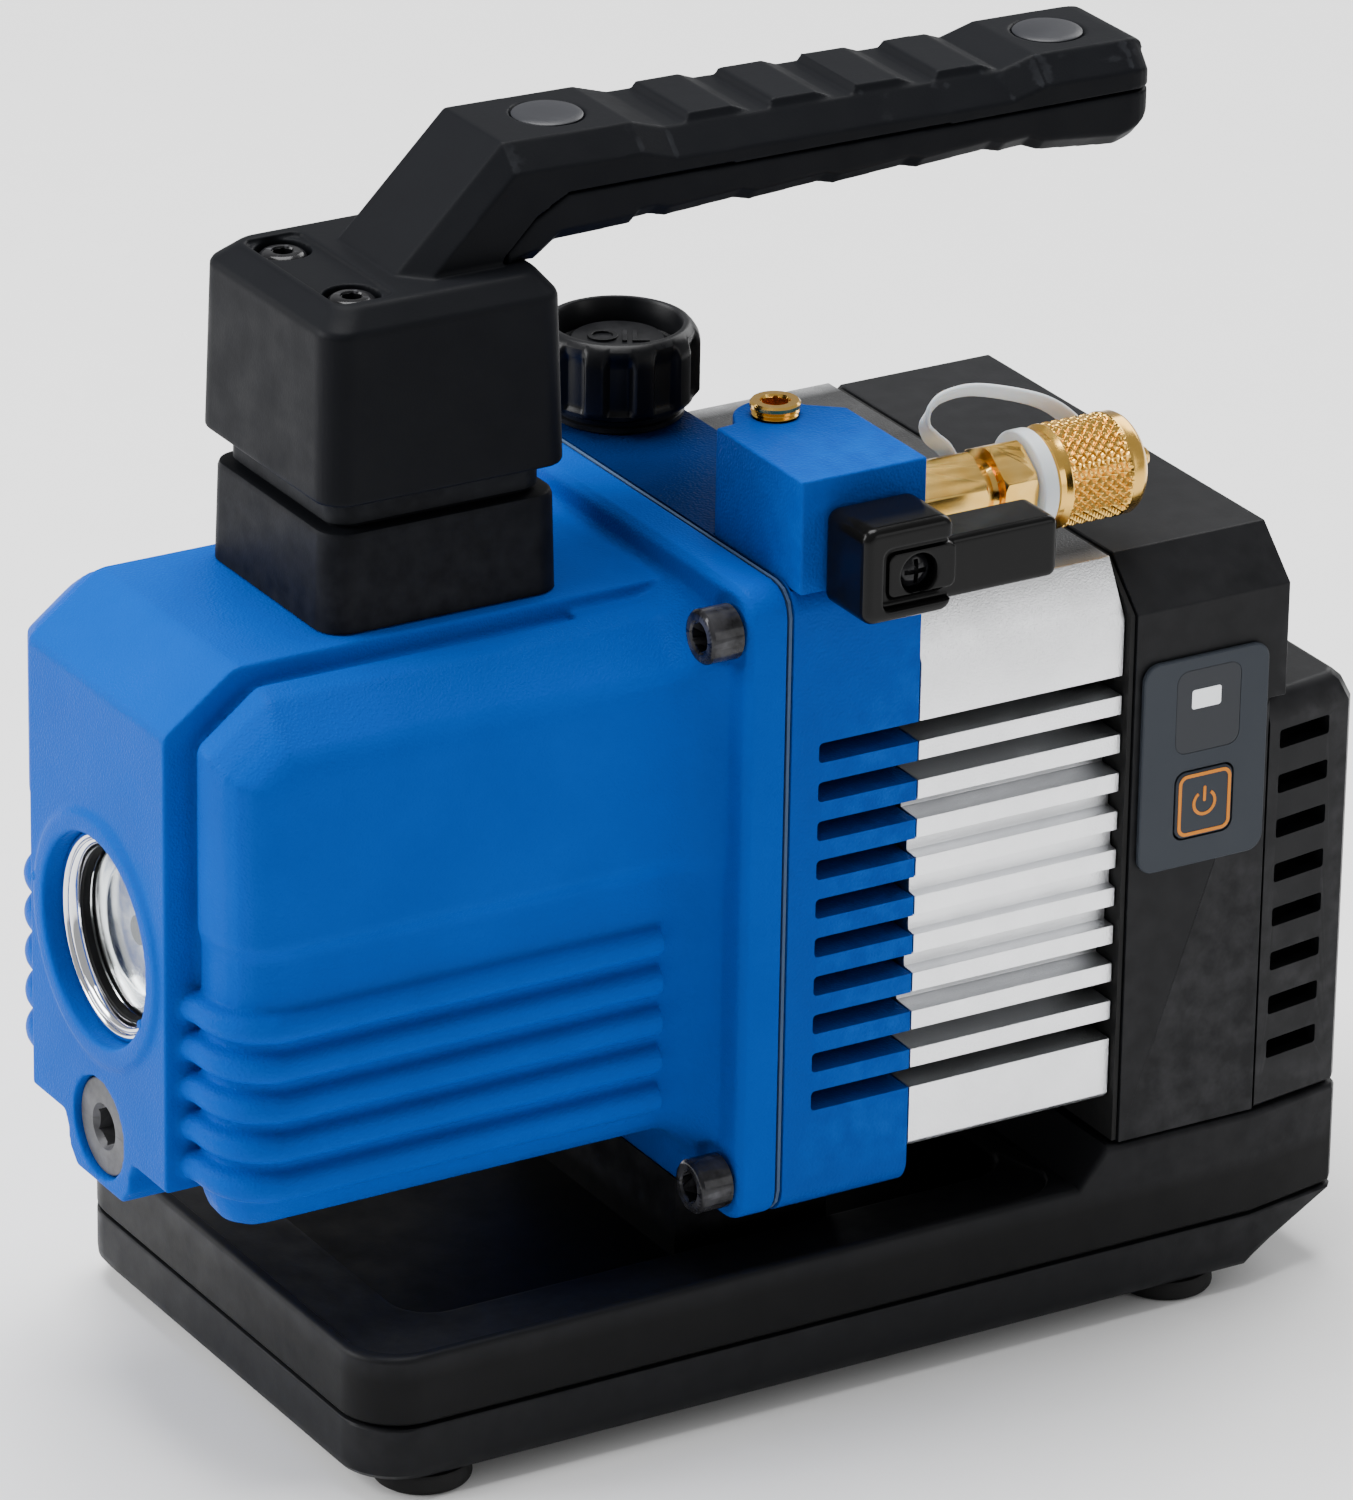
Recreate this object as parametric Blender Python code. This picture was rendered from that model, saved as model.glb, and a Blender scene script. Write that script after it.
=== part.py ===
"""Cordless rotary vane vacuum pump: oil tank, pump block, finned motor, battery housing."""

import math

import bmesh
import bpy
from mathutils import Matrix, Vector

MM = 0.001

# The drawing frame has Y = 0 at the tank's front face, X = 0 on the pump's mid plane
# and Z = 0 on the floor. FRAME_X and FRAME_Y move the model so that the middle of its
# box is at the origin.
FRAME_X = -6.4
FRAME_Y = -116.9

# Base
BASE_HALF_W = 56.0
BASE_FRONT = 24.0
BASE_KINK = 208.6
BASE_REAR = 230.0
BASE_REAR_HALF_W = 52.4
SHELL_BOTTOM = 4.0
SHELL_SPLIT = 15.2
TRAY_TOP = 28.8
TRAY_REAR_TOP = 35.8
FOOT_R = 9.0
FOOT_X = 46.5
FOOT_Y = (39.7, 196.5)

# Oil tank
TANK_HALF_W = 43.2
TANK_TOP = 150.4
TANK_BOTTOM = 50.0
RIM_HALF_W = 25.6
RIM_TOP = 152.5
RIM_BOTTOM = 54.7
FLANGE_FRONT = 99.6
FLANGE_BACK = 107.8
FLANGE_HALF_W = 53.5
FLANGE_TOP = 158.5
FLANGE_BOTTOM = 36.8
GLASS_Z = 94.0
GLASS_HOLE_R = 19.2
DRAIN_Z = 57.4
DRAIN_SEAT_R = 9.4
DRAIN_SEAT_Y = 4.6

# Pump block and motor
BLOCK_FRONT = 109.0
BLOCK_BACK = 135.0
MOTOR_FRONT = 135.3
MOTOR_BACK = 177.9
SHAFT_Z = 92.0
RIB_PITCH = 7.5
RIB_FIRST_Z = 58.6
RIB_COUNT = 10
ALU_BOTTOM = 44.7
ALU_SHOULDER = 139.0
ALU_TOP = 149.0
ALU_TOP_HALF_W = 47.8
ROTOR_R = 15.6
STATOR_BORE_R = 19.6
STATOR_OFFSET = 3.7
STATOR_FRONT = 70.0
SHAFT_R = 4.0

# Inlet valve
INLET_X = 39.8
INLET_Y = (109.4, 134.8)
INLET_HALF_W = 14.6
INLET_TOP = 178.5
INLET_BOTTOM = 157.3
PORT_Z = 163.1
LEVER_Y = 125.6
LEVER_FACE = 68.8
PLUG_X = 24.6
PLUG_Y = 121.8
CAP_Y = (166.6, 185.6)
CAP_R = 9.5

# Oil filler
FILL_X = -33.4
FILL_Y = 123.8
FILL_R = 15.0

# Rear housing
HOUSE_FRONT = 179.4
HOUSE_BACK = 212.0
HOUSE_HALF_W = 55.4
HOUSE_BOTTOM = 36.1
HOUSE_SHOULDER = 140.0
HOUSE_TOP = 148.9
HOUSE_TOP_HALF_W = 46.3
COVER_WALL = 2.6
COVER_TOP = 117.8
COVER_BACK = 229.6
SLOT_COUNT = 8
SLOT_PITCH = 8.83
SLOT_TOP_Z = 109.2

# Handle
POST_HALF_W = 22.8
POST_Y = (33.6, 80.8)
POST_TOP = 171.2
HEAD_BOTTOM = 177.0
HEAD_SIDE_TOP = 208.0
HEAD_TOP = 211.8
GRIP_HALF_W = 14.8
GRIP_TOP = 232.6
GRIP_END = 206.4

COLOURS = {
    "blue": ((0.005, 0.19, 0.62), 0.45, 0.0),
    "charcoal": ((0.055, 0.057, 0.066), 0.6, 0.0),
    "black": ((0.012, 0.012, 0.014), 0.5, 0.0),
    "rubber": ((0.02, 0.02, 0.02), 0.85, 0.0),
    "silver": ((0.68, 0.69, 0.71), 0.38, 1.0),
    "steel": ((0.5, 0.5, 0.52), 0.3, 1.0),
    "chrome": ((0.8, 0.8, 0.82), 0.08, 1.0),
    "brass": ((0.78, 0.55, 0.22), 0.22, 1.0),
    "oxide": ((0.03, 0.03, 0.032), 0.35, 0.8),
    "graphite": ((0.06, 0.06, 0.065), 0.5, 0.3),
    "glass": ((0.8, 0.85, 0.85), 0.05, 0.0),
    "paper": ((0.75, 0.74, 0.7), 0.9, 0.0),
    "strap": ((0.85, 0.87, 0.9), 0.4, 0.0),
    "slate": ((0.12, 0.14, 0.16), 0.45, 0.0),
    "orange": ((0.9, 0.22, 0.03), 0.45, 0.0),
    "board": ((0.02, 0.12, 0.05), 0.5, 0.0),
    "copper": ((0.6, 0.25, 0.12), 0.35, 1.0),
    "filter": ((0.8, 0.79, 0.72), 0.9, 0.0),
}


def clear_scene():
    for obj in list(bpy.data.objects):
        bpy.data.objects.remove(obj, do_unlink=True)


def paint(obj, colour):
    name = obj.name + "_mat"
    mat = bpy.data.materials.new(name)
    mat.use_nodes = True
    shader = mat.node_tree.nodes["Principled BSDF"]
    rgb, rough, metal = COLOURS[colour]
    shader.inputs["Base Color"].default_value = (*rgb, 1.0)
    shader.inputs["Roughness"].default_value = rough
    shader.inputs["Metallic"].default_value = metal
    obj.data.materials.clear()
    obj.data.materials.append(mat)


def add_object(name, bm, at, frame, smooth=None):
    bmesh.ops.remove_doubles(bm, verts=bm.verts, dist=1e-7)
    bmesh.ops.recalc_face_normals(bm, faces=bm.faces)
    mesh = bpy.data.meshes.new(name)
    bm.to_mesh(mesh)
    bm.free()
    obj = bpy.data.objects.new(name, mesh)
    bpy.context.scene.collection.objects.link(obj)
    obj.parent = frame
    obj.location = Vector(at) * MM
    if smooth is not None:
        mesh.shade_smooth()
        mesh.set_sharp_from_angle(angle=math.radians(smooth))
    return obj


def plane_point(axis, a, b, h):
    """A point at height h along the axis; a and b are the other two coordinates in X, Y, Z order."""
    if axis == "X":
        return Vector((h, a, b)) * MM
    if axis == "Y":
        return Vector((a, h, b)) * MM
    return Vector((a, b, h)) * MM


def extrude_outline(name, outline, axis, start, end, frame, at=(0, 0, 0), smooth=None):
    """Extrudes a closed outline along an axis between two heights."""
    bm = bmesh.new()
    verts = [bm.verts.new(plane_point(axis, a, b, start)) for a, b in outline]
    face = bm.faces.new(verts)
    grown = bmesh.ops.extrude_face_region(bm, geom=[face])
    moved = [g for g in grown["geom"] if isinstance(g, bmesh.types.BMVert)]
    bmesh.ops.translate(bm, verts=moved, vec=plane_point(axis, 0, 0, end - start))
    return add_object(name, bm, at, frame, smooth)


def loft(name, rings, frame, at=(0, 0, 0), smooth=None, axis="Z"):
    """Bridges closed rings of equal counts, each (height, outline), and caps both ends."""
    bm = bmesh.new()
    loops = []
    for height, outline in rings:
        loops.append([bm.verts.new(plane_point(axis, a, b, height)) for a, b in outline])
    for low, high in zip(loops, loops[1:]):
        count = len(low)
        for i in range(count):
            j = (i + 1) % count
            bm.faces.new((low[i], low[j], high[j], high[i]))
    bm.faces.new(loops[0])
    bm.faces.new(loops[-1])
    return add_object(name, bm, at, frame, smooth)


def turn(name, profile, axis, at, frame, steps=24, smooth=35):
    """Spins a closed (radius, height) profile round an axis through the origin of the object."""
    bm = bmesh.new()
    if axis == "X":
        side = Vector((0, 1, 0))
        along = Vector((1, 0, 0))
    elif axis == "Y":
        side = Vector((1, 0, 0))
        along = Vector((0, 1, 0))
    else:
        side = Vector((1, 0, 0))
        along = Vector((0, 0, 1))
    verts = [bm.verts.new((side * r + along * h) * MM) for r, h in profile]
    edges = []
    for i, vert in enumerate(verts):
        other = verts[(i + 1) % len(verts)]
        on_axis = profile[i][0] == 0 and profile[(i + 1) % len(profile)][0] == 0
        if not on_axis:
            edges.append(bm.edges.new((vert, other)))
    bmesh.ops.spin(
        bm,
        geom=verts + edges,
        cent=(0, 0, 0),
        axis=along,
        angle=math.tau,
        steps=steps,
        use_merge=True,
    )
    bmesh.ops.remove_doubles(bm, verts=bm.verts, dist=1e-6)
    bmesh.ops.dissolve_degenerate(bm, edges=bm.edges, dist=1e-7)
    return add_object(name, bm, at, frame, smooth)


def disc(radius, low, high):
    return [(0, low), (radius, low), (radius, high), (0, high)]


def tube(inner, outer, low, high):
    return [(inner, low), (outer, low), (outer, high), (inner, high)]


def block(name, x, y, z, frame, at=(0, 0, 0)):
    outline = [(x[0], y[0]), (x[1], y[0]), (x[1], y[1]), (x[0], y[1])]
    return extrude_outline(name, outline, "Z", z[0], z[1], frame, at)


def rounded(x0, x1, y0, y1, radius, steps=3):
    """A rectangle outline with round corners."""
    points = []
    corners = (
        (x1 - radius, y0 + radius, -90),
        (x1 - radius, y1 - radius, 0),
        (x0 + radius, y1 - radius, 90),
        (x0 + radius, y0 + radius, 180),
    )
    for cx, cy, first in corners:
        for i in range(steps + 1):
            angle = math.radians(first + 90 * i / steps)
            points.append((cx + radius * math.cos(angle), cy + radius * math.sin(angle)))
    return points


def polygon(radius, sides, centre=(0, 0), phase=0.0):
    points = []
    for i in range(sides):
        angle = math.radians(phase) + math.tau * i / sides
        points.append((centre[0] + radius * math.cos(angle), centre[1] + radius * math.sin(angle)))
    return points


def bevel(obj, width, segments=1, angle=30):
    mod = obj.modifiers.new("edge", "BEVEL")
    mod.width = width * MM
    mod.segments = segments
    mod.limit_method = "ANGLE"
    mod.angle_limit = math.radians(angle)
    return obj


def boolean(obj, other, operation):
    other.hide_render = True
    other.display_type = "WIRE"
    mod = obj.modifiers.new(other.name, "BOOLEAN")
    mod.object = other
    mod.operation = operation
    mod.solver = "EXACT"


def cut(obj, *cutters):
    for cutter in cutters:
        boolean(obj, cutter, "DIFFERENCE")


def join(obj, *others):
    for other in others:
        boolean(obj, other, "UNION")


# ---------------------------------------------------------------- base


def base_outline(inset, rear_inset=None):
    w = BASE_HALF_W - inset
    rw = BASE_REAR_HALF_W - inset
    front = BASE_FRONT + inset
    rear = BASE_REAR - (inset if rear_inset is None else rear_inset)
    r = 11.0
    right = [(0.0, front)]
    for i in range(5):
        angle = math.radians(-90 + 90 * i / 4)
        right.append((w - r + r * math.cos(angle), front + r + r * math.sin(angle)))
    right += [(w, 171.0), (w, 177.0), (w, min(BASE_KINK, rear - 4.0)), (rw, rear - 1.6), (rw - 1.8, rear)]
    left = [(-x, y) for x, y in reversed(right[1:])]
    return right + left


def tray_height(y, low):
    if y < 174.0:
        return low
    return low + TRAY_REAR_TOP - TRAY_TOP


def make_base(frame):
    rings = [
        (SHELL_BOTTOM, base_outline(1.3, 17.0)),
        (SHELL_BOTTOM + 1.6, base_outline(0.0, 14.4)),
        (SHELL_SPLIT - 0.5, base_outline(0.0)),
        (SHELL_SPLIT - 0.2, base_outline(0.6)),
        (SHELL_SPLIT - 0.2, base_outline(3.0)),
        (SHELL_BOTTOM + 3.0, base_outline(3.2, 17.6)),
    ]
    bottom = loft("base_bottom", rings, frame, smooth=40)
    paint(bottom, "charcoal")

    bm = bmesh.new()
    levels = [
        (3.0, None, SHELL_SPLIT + 3.0),
        (3.0, None, SHELL_SPLIT + 0.2),
        (0.7, None, SHELL_SPLIT + 0.2),
        (0.0, None, SHELL_SPLIT + 0.9),
        (0.6, TRAY_TOP - 0.6, None),
        (1.2, TRAY_TOP, None),
    ]
    loops = []
    for inset, low, flat in levels:
        loop = []
        for x, y in base_outline(inset):
            z = flat if flat is not None else tray_height(y, low)
            loop.append(bm.verts.new(Vector((x, y, z)) * MM))
        loops.append(loop)
    for low, high in zip(loops, loops[1:]):
        for i in range(len(low)):
            j = (i + 1) % len(low)
            bm.faces.new((low[i], low[j], high[j], high[i]))
    bm.faces.new(loops[0])
    top = loops[-1]
    front_part = [v for v in top if v.co.y < 0.173]
    rear_part = [v for v in top if v.co.y > 0.173]
    order = {v: i for i, v in enumerate(top)}
    count = len(top)
    first_rear = min(order[v] for v in rear_part)
    last_rear = max(order[v] for v in rear_part)
    before = top[first_rear - 1]
    after = top[(last_rear + 1) % count]
    bm.faces.new([v for v in top if v in front_part])
    bm.faces.new((before, top[first_rear], top[last_rear], after))
    bm.faces.new([top[i] for i in range(first_rear, last_rear + 1)])
    tray = add_object("base_tray", bm, (0, 0, 0), frame, 28)
    dish = loft(
        "dish_cut",
        [
            (20.5, rounded(-36.6, 36.6, 43.0, 168.0, 8.0)),
            (26.2, rounded(-37.0, 37.0, 42.6, 168.4, 8.0)),
            (28.4, rounded(-53.6, 53.6, 26.4, 169.5, 9.0)),
            (33.0, rounded(-53.8, 53.8, 26.2, 169.6, 9.0)),
        ],
        frame,
    )
    cut(tray, dish)
    join(tray, block("saddle_add", (-30, 30), (101, 133), (18.5, 36.4), frame))
    paint(tray, "charcoal")

    for x, sx in ((FOOT_X, "r"), (-FOOT_X, "l")):
        for y, sy in zip(FOOT_Y, ("front", "rear")):
            profile = [(0, 0), (FOOT_R - 1.0, 0), (FOOT_R, 1.0), (FOOT_R, 3.7), (0, 3.7)]
            foot = turn("foot_%s_%s" % (sy, sx), profile, "Z", (x, y, 0), frame, 16)
            paint(foot, "rubber")


# ---------------------------------------------------------------- oil tank


def tank_right_section():
    right = [(0.0, TANK_BOTTOM), (30.0, TANK_BOTTOM), (39.6, 51.8)]
    for i in range(5):
        z = 60.6 + RIB_PITCH * i
        right += [(TANK_HALF_W, z - 3.75), (TANK_HALF_W + 2.7, z)]
    right += [(TANK_HALF_W, 94.3), (TANK_HALF_W - 0.4, 103.0), (TANK_HALF_W - 3.0, 106.0)]
    right += [(TANK_HALF_W - 0.2, 110.0), (TANK_HALF_W, 138.0), (41.8, 143.6), (37.4, 147.6)]
    right += [(27.0, TANK_TOP), (0.0, TANK_TOP)]
    return right


def squeezed(outline, keep, scale, lift):
    points = []
    mid = (TANK_TOP + TANK_BOTTOM) / 2
    half = (TANK_TOP - TANK_BOTTOM) / 2
    for x, z in outline:
        side = 1.0 if x >= 0 else -1.0
        over = max(abs(x) - keep, 0.0)
        x2 = side * (min(abs(x), keep) + over * scale)
        points.append((x2, mid + (z - mid) * (half - lift) / half))
    return points


def make_tank(frame):
    section = tank_right_section()
    full = section[:-1] + [(-x, z) for x, z in reversed(section[1:])]
    rings = [
        (4.0, squeezed(full, 26.0, 0.48, 2.0)),
        (5.8, squeezed(full, 26.0, 0.8, 0.9)),
        (8.4, squeezed(full, 26.0, 0.95, 0.3)),
        (12.0, full),
        (FLANGE_FRONT + 1.5, full),
    ]
    tank = loft("oil_tank", rings, frame, smooth=32, axis="Y")
    side = [(0.0, RIM_BOTTOM), (0.0, 142.0), (14.0, RIM_TOP), (FLANGE_FRONT + 1.0, RIM_TOP)]
    side += [(FLANGE_FRONT + 1.0, 140.0), (12.0, 140.0), (12.0, RIM_BOTTOM - 2.0)]
    rim = extrude_outline("rim_add", side, "X", -RIM_HALF_W, RIM_HALF_W, frame)
    boss = turn("boss_add", disc(11.6, 0.2, 14.0), "Y", (0, 0, DRAIN_Z), frame, 16)
    ring = turn("ring_add", disc(23.8, -1.0, 5.0), "Y", (0, 0, GLASS_Z), frame, 28)
    flange_outline = rounded(-FLANGE_HALF_W, FLANGE_HALF_W, FLANGE_BOTTOM, FLANGE_TOP, 5.5)
    flange = extrude_outline("flange_add", flange_outline, "Y", FLANGE_FRONT, FLANGE_BACK, frame)
    bevel(flange, 1.2)
    join(tank, rim, boss, ring, flange)
    inner = squeezed(full, 0.0, 0.9, 4.5)
    hollow = extrude_outline("hollow_cut", inner, "Y", 9.0, FLANGE_BACK + 1.0, frame)
    hole = turn("glass_cut", disc(GLASS_HOLE_R, -3.0, 12.0), "Y", (0, 0, GLASS_Z), frame, 28)
    drain_profile = [(0, -4.3), (DRAIN_SEAT_R, -4.3), (DRAIN_SEAT_R, DRAIN_SEAT_Y)]
    drain_profile += [(5.2, DRAIN_SEAT_Y), (5.2, 16.0), (0, 16.0)]
    drain = turn("drain_cut", drain_profile, "Y", (0, 0, DRAIN_Z), frame, 20)
    for x in (-48.2, 48.2):
        for z in (44.6, 150.6):
            bore = turn("bolt_cut", disc(3.3, 98.0, 110.0), "Y", (x, 0, z), frame, 8)
            cut(tank, bore)
    exhaust = turn("exhaust_cut", disc(6.0, 140.0, 160.0), "Z", (0, 56.8, 0), frame, 12)
    cut(tank, exhaust, drain, hollow, hole)
    paint(tank, "blue")

    gasket_outline = rounded(-53.2, 53.2, FLANGE_BOTTOM + 0.3, FLANGE_TOP - 0.2, 5.3)
    gasket = extrude_outline("tank_gasket", gasket_outline, "Y", 108.1, 108.7, frame)
    window = rounded(-38.0, 38.0, 50.0, 145.0, 6.0)
    cut(gasket, extrude_outline("window_cut", window, "Y", 107.0, 110.0, frame))
    for x in (-48.2, 48.2):
        for z in (44.6, 150.6):
            bore = turn("bolt_cut_g", disc(3.3, 107.0, 110.0), "Y", (x, 0, z), frame, 8)
            cut(gasket, bore)
    paint(gasket, "paper")

    for x, sx in ((-48.2, "l"), (48.2, "r")):
        for z, sz in ((44.6, "low"), (150.6, "top")):
            profile = [(0, 0), (2.4, 0), (2.4, -3.4), (4.4, -3.4), (5.0, -2.8), (5.0, 3.2)]
            profile += [(3.0, 3.2), (3.0, 18.0), (0, 18.0)]
            bolt = turn("tank_bolt_%s_%s" % (sz, sx), profile, "Y", (x, 96.1, z), frame, 12)
            paint(bolt, "oxide")

    bezel_profile = [(15.6, 2.0), (18.9, 1.4), (18.9, 3.4), (16.6, 5.0), (15.6, 5.0)]
    bezel = turn("sight_bezel", bezel_profile, "Y", (0, 0, GLASS_Z), frame, 28)
    paint(bezel, "chrome")
    lens = turn("sight_lens", disc(18.8, 5.4, 8.6), "Y", (0, 0, GLASS_Z), frame, 28)
    paint(lens, "glass")
    seal = turn("sight_seal", tube(16.2, 18.8, 8.9, 10.6), "Y", (0, 0, GLASS_Z), frame, 22)
    paint(seal, "rubber")
    reflector_profile = [(0, 11.0), (18.4, 11.0), (18.4, 12.0), (0, 12.0)]
    reflector = turn("sight_reflector", reflector_profile, "Y", (0, 0, GLASS_Z), frame, 22)
    paint(reflector, "silver")

    plug_profile = [(0, 4.2), (4.3, 4.2), (4.3, 1.1), (8.7, 1.1), (9.1, 1.5), (9.1, 4.0)]
    plug_profile += [(4.9, 4.0), (4.9, 12.0), (0, 12.0)]
    plug = turn("drain_plug", plug_profile, "Y", (0, 0, DRAIN_Z), frame, 20)
    paint(plug, "graphite")
    washer = turn("drain_seal", tube(5.4, 8.8, 4.15, 4.45), "Y", (0, 0, DRAIN_Z), frame, 16)
    paint(washer, "rubber")


# ---------------------------------------------------------------- pump


def make_pump(frame):
    outline = rounded(-FLANGE_HALF_W, FLANGE_HALF_W, FLANGE_BOTTOM, FLANGE_TOP, 5.5)
    pump = extrude_outline("pump_block", outline, "Y", BLOCK_FRONT, BLOCK_BACK, frame, smooth=40)
    for i in range(RIB_COUNT):
        z = RIB_FIRST_Z + RIB_PITCH * i
        for sx in (-1, 1):
            x = (sx * 46.0, sx * 60.0) if sx > 0 else (-60.0, -46.0)
            groove = block("groove_cut", x, (114.6, 137.0), (z - 1.9, z + 1.9), frame)
            cut(pump, groove)
    cut(pump, turn("shaft_cut", disc(12.0, 100.0, 140.0), "Y", (0, 0, SHAFT_Z), frame, 16))
    pocket_outline = inlet_outline(0.3)
    pocket = extrude_outline("inlet_pocket_cut", pocket_outline, "Z", INLET_BOTTOM - 0.3, 165.0, frame)
    cut(pump, pocket)
    fill = turn("fill_cut", disc(7.0, 138.0, 162.0), "Z", (FILL_X, FILL_Y, 0), frame, 14)
    fill_out = turn("fill_out_cut", disc(4.5, 105.0, 122.0), "Y", (FILL_X, 0, 142.0), frame, 12)
    cut(pump, fill, fill_out)
    for x in (-48.2, 48.2):
        for z in (44.6, 150.6):
            bore = turn("bolt_cut_b", disc(3.3, 107.0, 116.0), "Y", (x, 0, z), frame, 8)
            cut(pump, bore)
    paint(pump, "blue")

    centre = (0, 0, SHAFT_Z + STATOR_OFFSET)
    stator = turn(
        "pump_stator",
        tube(STATOR_BORE_R, 30.0, STATOR_FRONT, BLOCK_FRONT - 0.3),
        "Y",
        centre,
        frame,
        28,
    )
    guard = block("guard_add", (-9, 9), (78, 99), (129.4, 131.0), frame)
    leg = block("guard_leg_add", (-9, 9), (76.4, 79.4), (118.0, 131.0), frame)
    join(stator, guard, leg)
    paint(stator, "steel")
    plate = turn("stator_cover", tube(5.0, 30.0, 66.0, STATOR_FRONT - 0.3), "Y", centre, frame, 22)
    bore = turn("cover_cut", disc(5.0, 60.0, 72.0), "Y", (0, 0, SHAFT_Z), frame, 14)
    cut(plate, bore)
    paint(plate, "steel")

    rotor = turn("pump_rotor", disc(ROTOR_R, 70.4, 108.2), "Y", (0, 0, SHAFT_Z), frame, 22)
    slot_r = block("vane_slot_cut_r", (6.0, 18.0), (69.0, 110.0), (-1.7, 1.7), frame, (0, 0, SHAFT_Z))
    slot_l = block("vane_slot_cut_l", (-18.0, -6.0), (69.0, 110.0), (-1.7, 1.7), frame, (0, 0, SHAFT_Z))
    shaft_hole = turn("rotor_bore_cut", disc(4.3, 66.0, 112.0), "Y", (0, 0, SHAFT_Z), frame, 14)
    cut(rotor, slot_r, slot_l, shaft_hole)
    paint(rotor, "steel")
    for side, x in (("r", (7.0, 15.0)), ("l", (-15.0, -7.0))):
        vane = block("vane_" + side, x, (70.6, 108.0), (-1.4, 1.4), frame, (0, 0, SHAFT_Z))
        paint(vane, "graphite")

    valve = block("exhaust_valve", (-9, 9), (80, 98), (0.0, 1.0), frame, (0, 0, 126.1))
    paint(valve, "steel")
    seal = turn("shaft_seal", tube(4.4, 11.6, 111.0, 117.0), "Y", (0, 0, SHAFT_Z), frame, 20)
    paint(seal, "rubber")


# ---------------------------------------------------------------- motor


def motor_section():
    centre = SHAFT_Z
    right = [(0.0, ALU_BOTTOM), (52.2, ALU_BOTTOM), (53.5, 46.0)]
    for i in range(RIB_COUNT):
        z = RIB_FIRST_Z + RIB_PITCH * i
        reach = max(52.0 ** 2 - (z - centre) ** 2, 0.0) ** 0.5
        depth = min(max(reach, 42.0), 52.6)
        right += [(53.5, z - 1.9), (depth, z - 1.9), (depth, z + 1.9), (53.5, z + 1.9)]
    right += [(53.5, ALU_SHOULDER), (ALU_TOP_HALF_W, ALU_TOP), (0.0, ALU_TOP)]
    return right[:-1] + [(-x, z) for x, z in reversed(right[1:])]


def make_motor(frame):
    case = extrude_outline("motor_housing", motor_section(), "Y", MOTOR_FRONT, MOTOR_BACK, frame)
    bore = turn("motor_cut", disc(44.5, 139.0, 180.0), "Y", (0, 0, SHAFT_Z), frame, 32)
    nose = turn("motor_nose_cut", disc(12.0, 130.0, 142.0), "Y", (0, 0, SHAFT_Z), frame, 16)
    cut(case, bore, nose)
    paint(case, "silver")

    at = (0, 0, SHAFT_Z)
    coils = turn("motor_stator", tube(25.0, 44.0, 145.0, 172.0), "Y", at, frame, 22)
    paint(coils, "copper")
    magnet = turn("motor_rotor", tube(4.3, 24.0, 144.0, 173.0), "Y", at, frame, 20)
    paint(magnet, "steel")
    shaft = turn("shaft", disc(SHAFT_R, 62.0, 196.0), "Y", at, frame, 14)
    paint(shaft, "steel")
    shield_profile = [(11.4, 174.4), (44.0, 174.4), (44.0, 176.8), (16.0, 176.8), (16.0, 183.6)]
    shield_profile += [(4.8, 183.6), (4.8, 182.6), (11.4, 182.6)]
    shield = turn("bearing_plate", shield_profile, "Y", at, frame, 22)
    paint(shield, "steel")

    fan = turn("fan", tube(4.3, 9.0, 186.0, 194.0), "Y", at, frame, 16)
    for i in range(7):
        blade = block("blade_add", (7.0, 27.0), (186.4, 193.6), (-0.8, 0.8), frame, at)
        blade.rotation_euler = (0, math.tau * i / 7, 0)
        join(fan, blade)
    paint(fan, "black")

    gasket = extrude_outline("housing_gasket", housing_section(0.5), "Y", 178.2, 179.1, frame)
    cut(gasket, turn("gasket_cut", disc(45.5, 170.0, 185.0), "Y", at, frame, 28))
    paint(gasket, "black")


# ---------------------------------------------------------------- rear housing


def housing_section(inset):
    w = HOUSE_HALF_W - inset
    tw = HOUSE_TOP_HALF_W - inset * 0.6
    right = [(0.0, HOUSE_BOTTOM + inset), (w, HOUSE_BOTTOM + inset), (w, HOUSE_SHOULDER - inset * 0.4)]
    right += [(tw, HOUSE_TOP - inset), (0.0, HOUSE_TOP - inset)]
    return right[:-1] + [(-x, z) for x, z in reversed(right[1:])]


def cover_outline(inset):
    right = [(HOUSE_HALF_W - inset, 208.9), (BASE_REAR_HALF_W - inset, COVER_BACK - 1.6 - inset)]
    right += [(BASE_REAR_HALF_W - 1.8 - inset, COVER_BACK - inset)]
    return right + [(-x, y) for x, y in reversed(right)]


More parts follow.
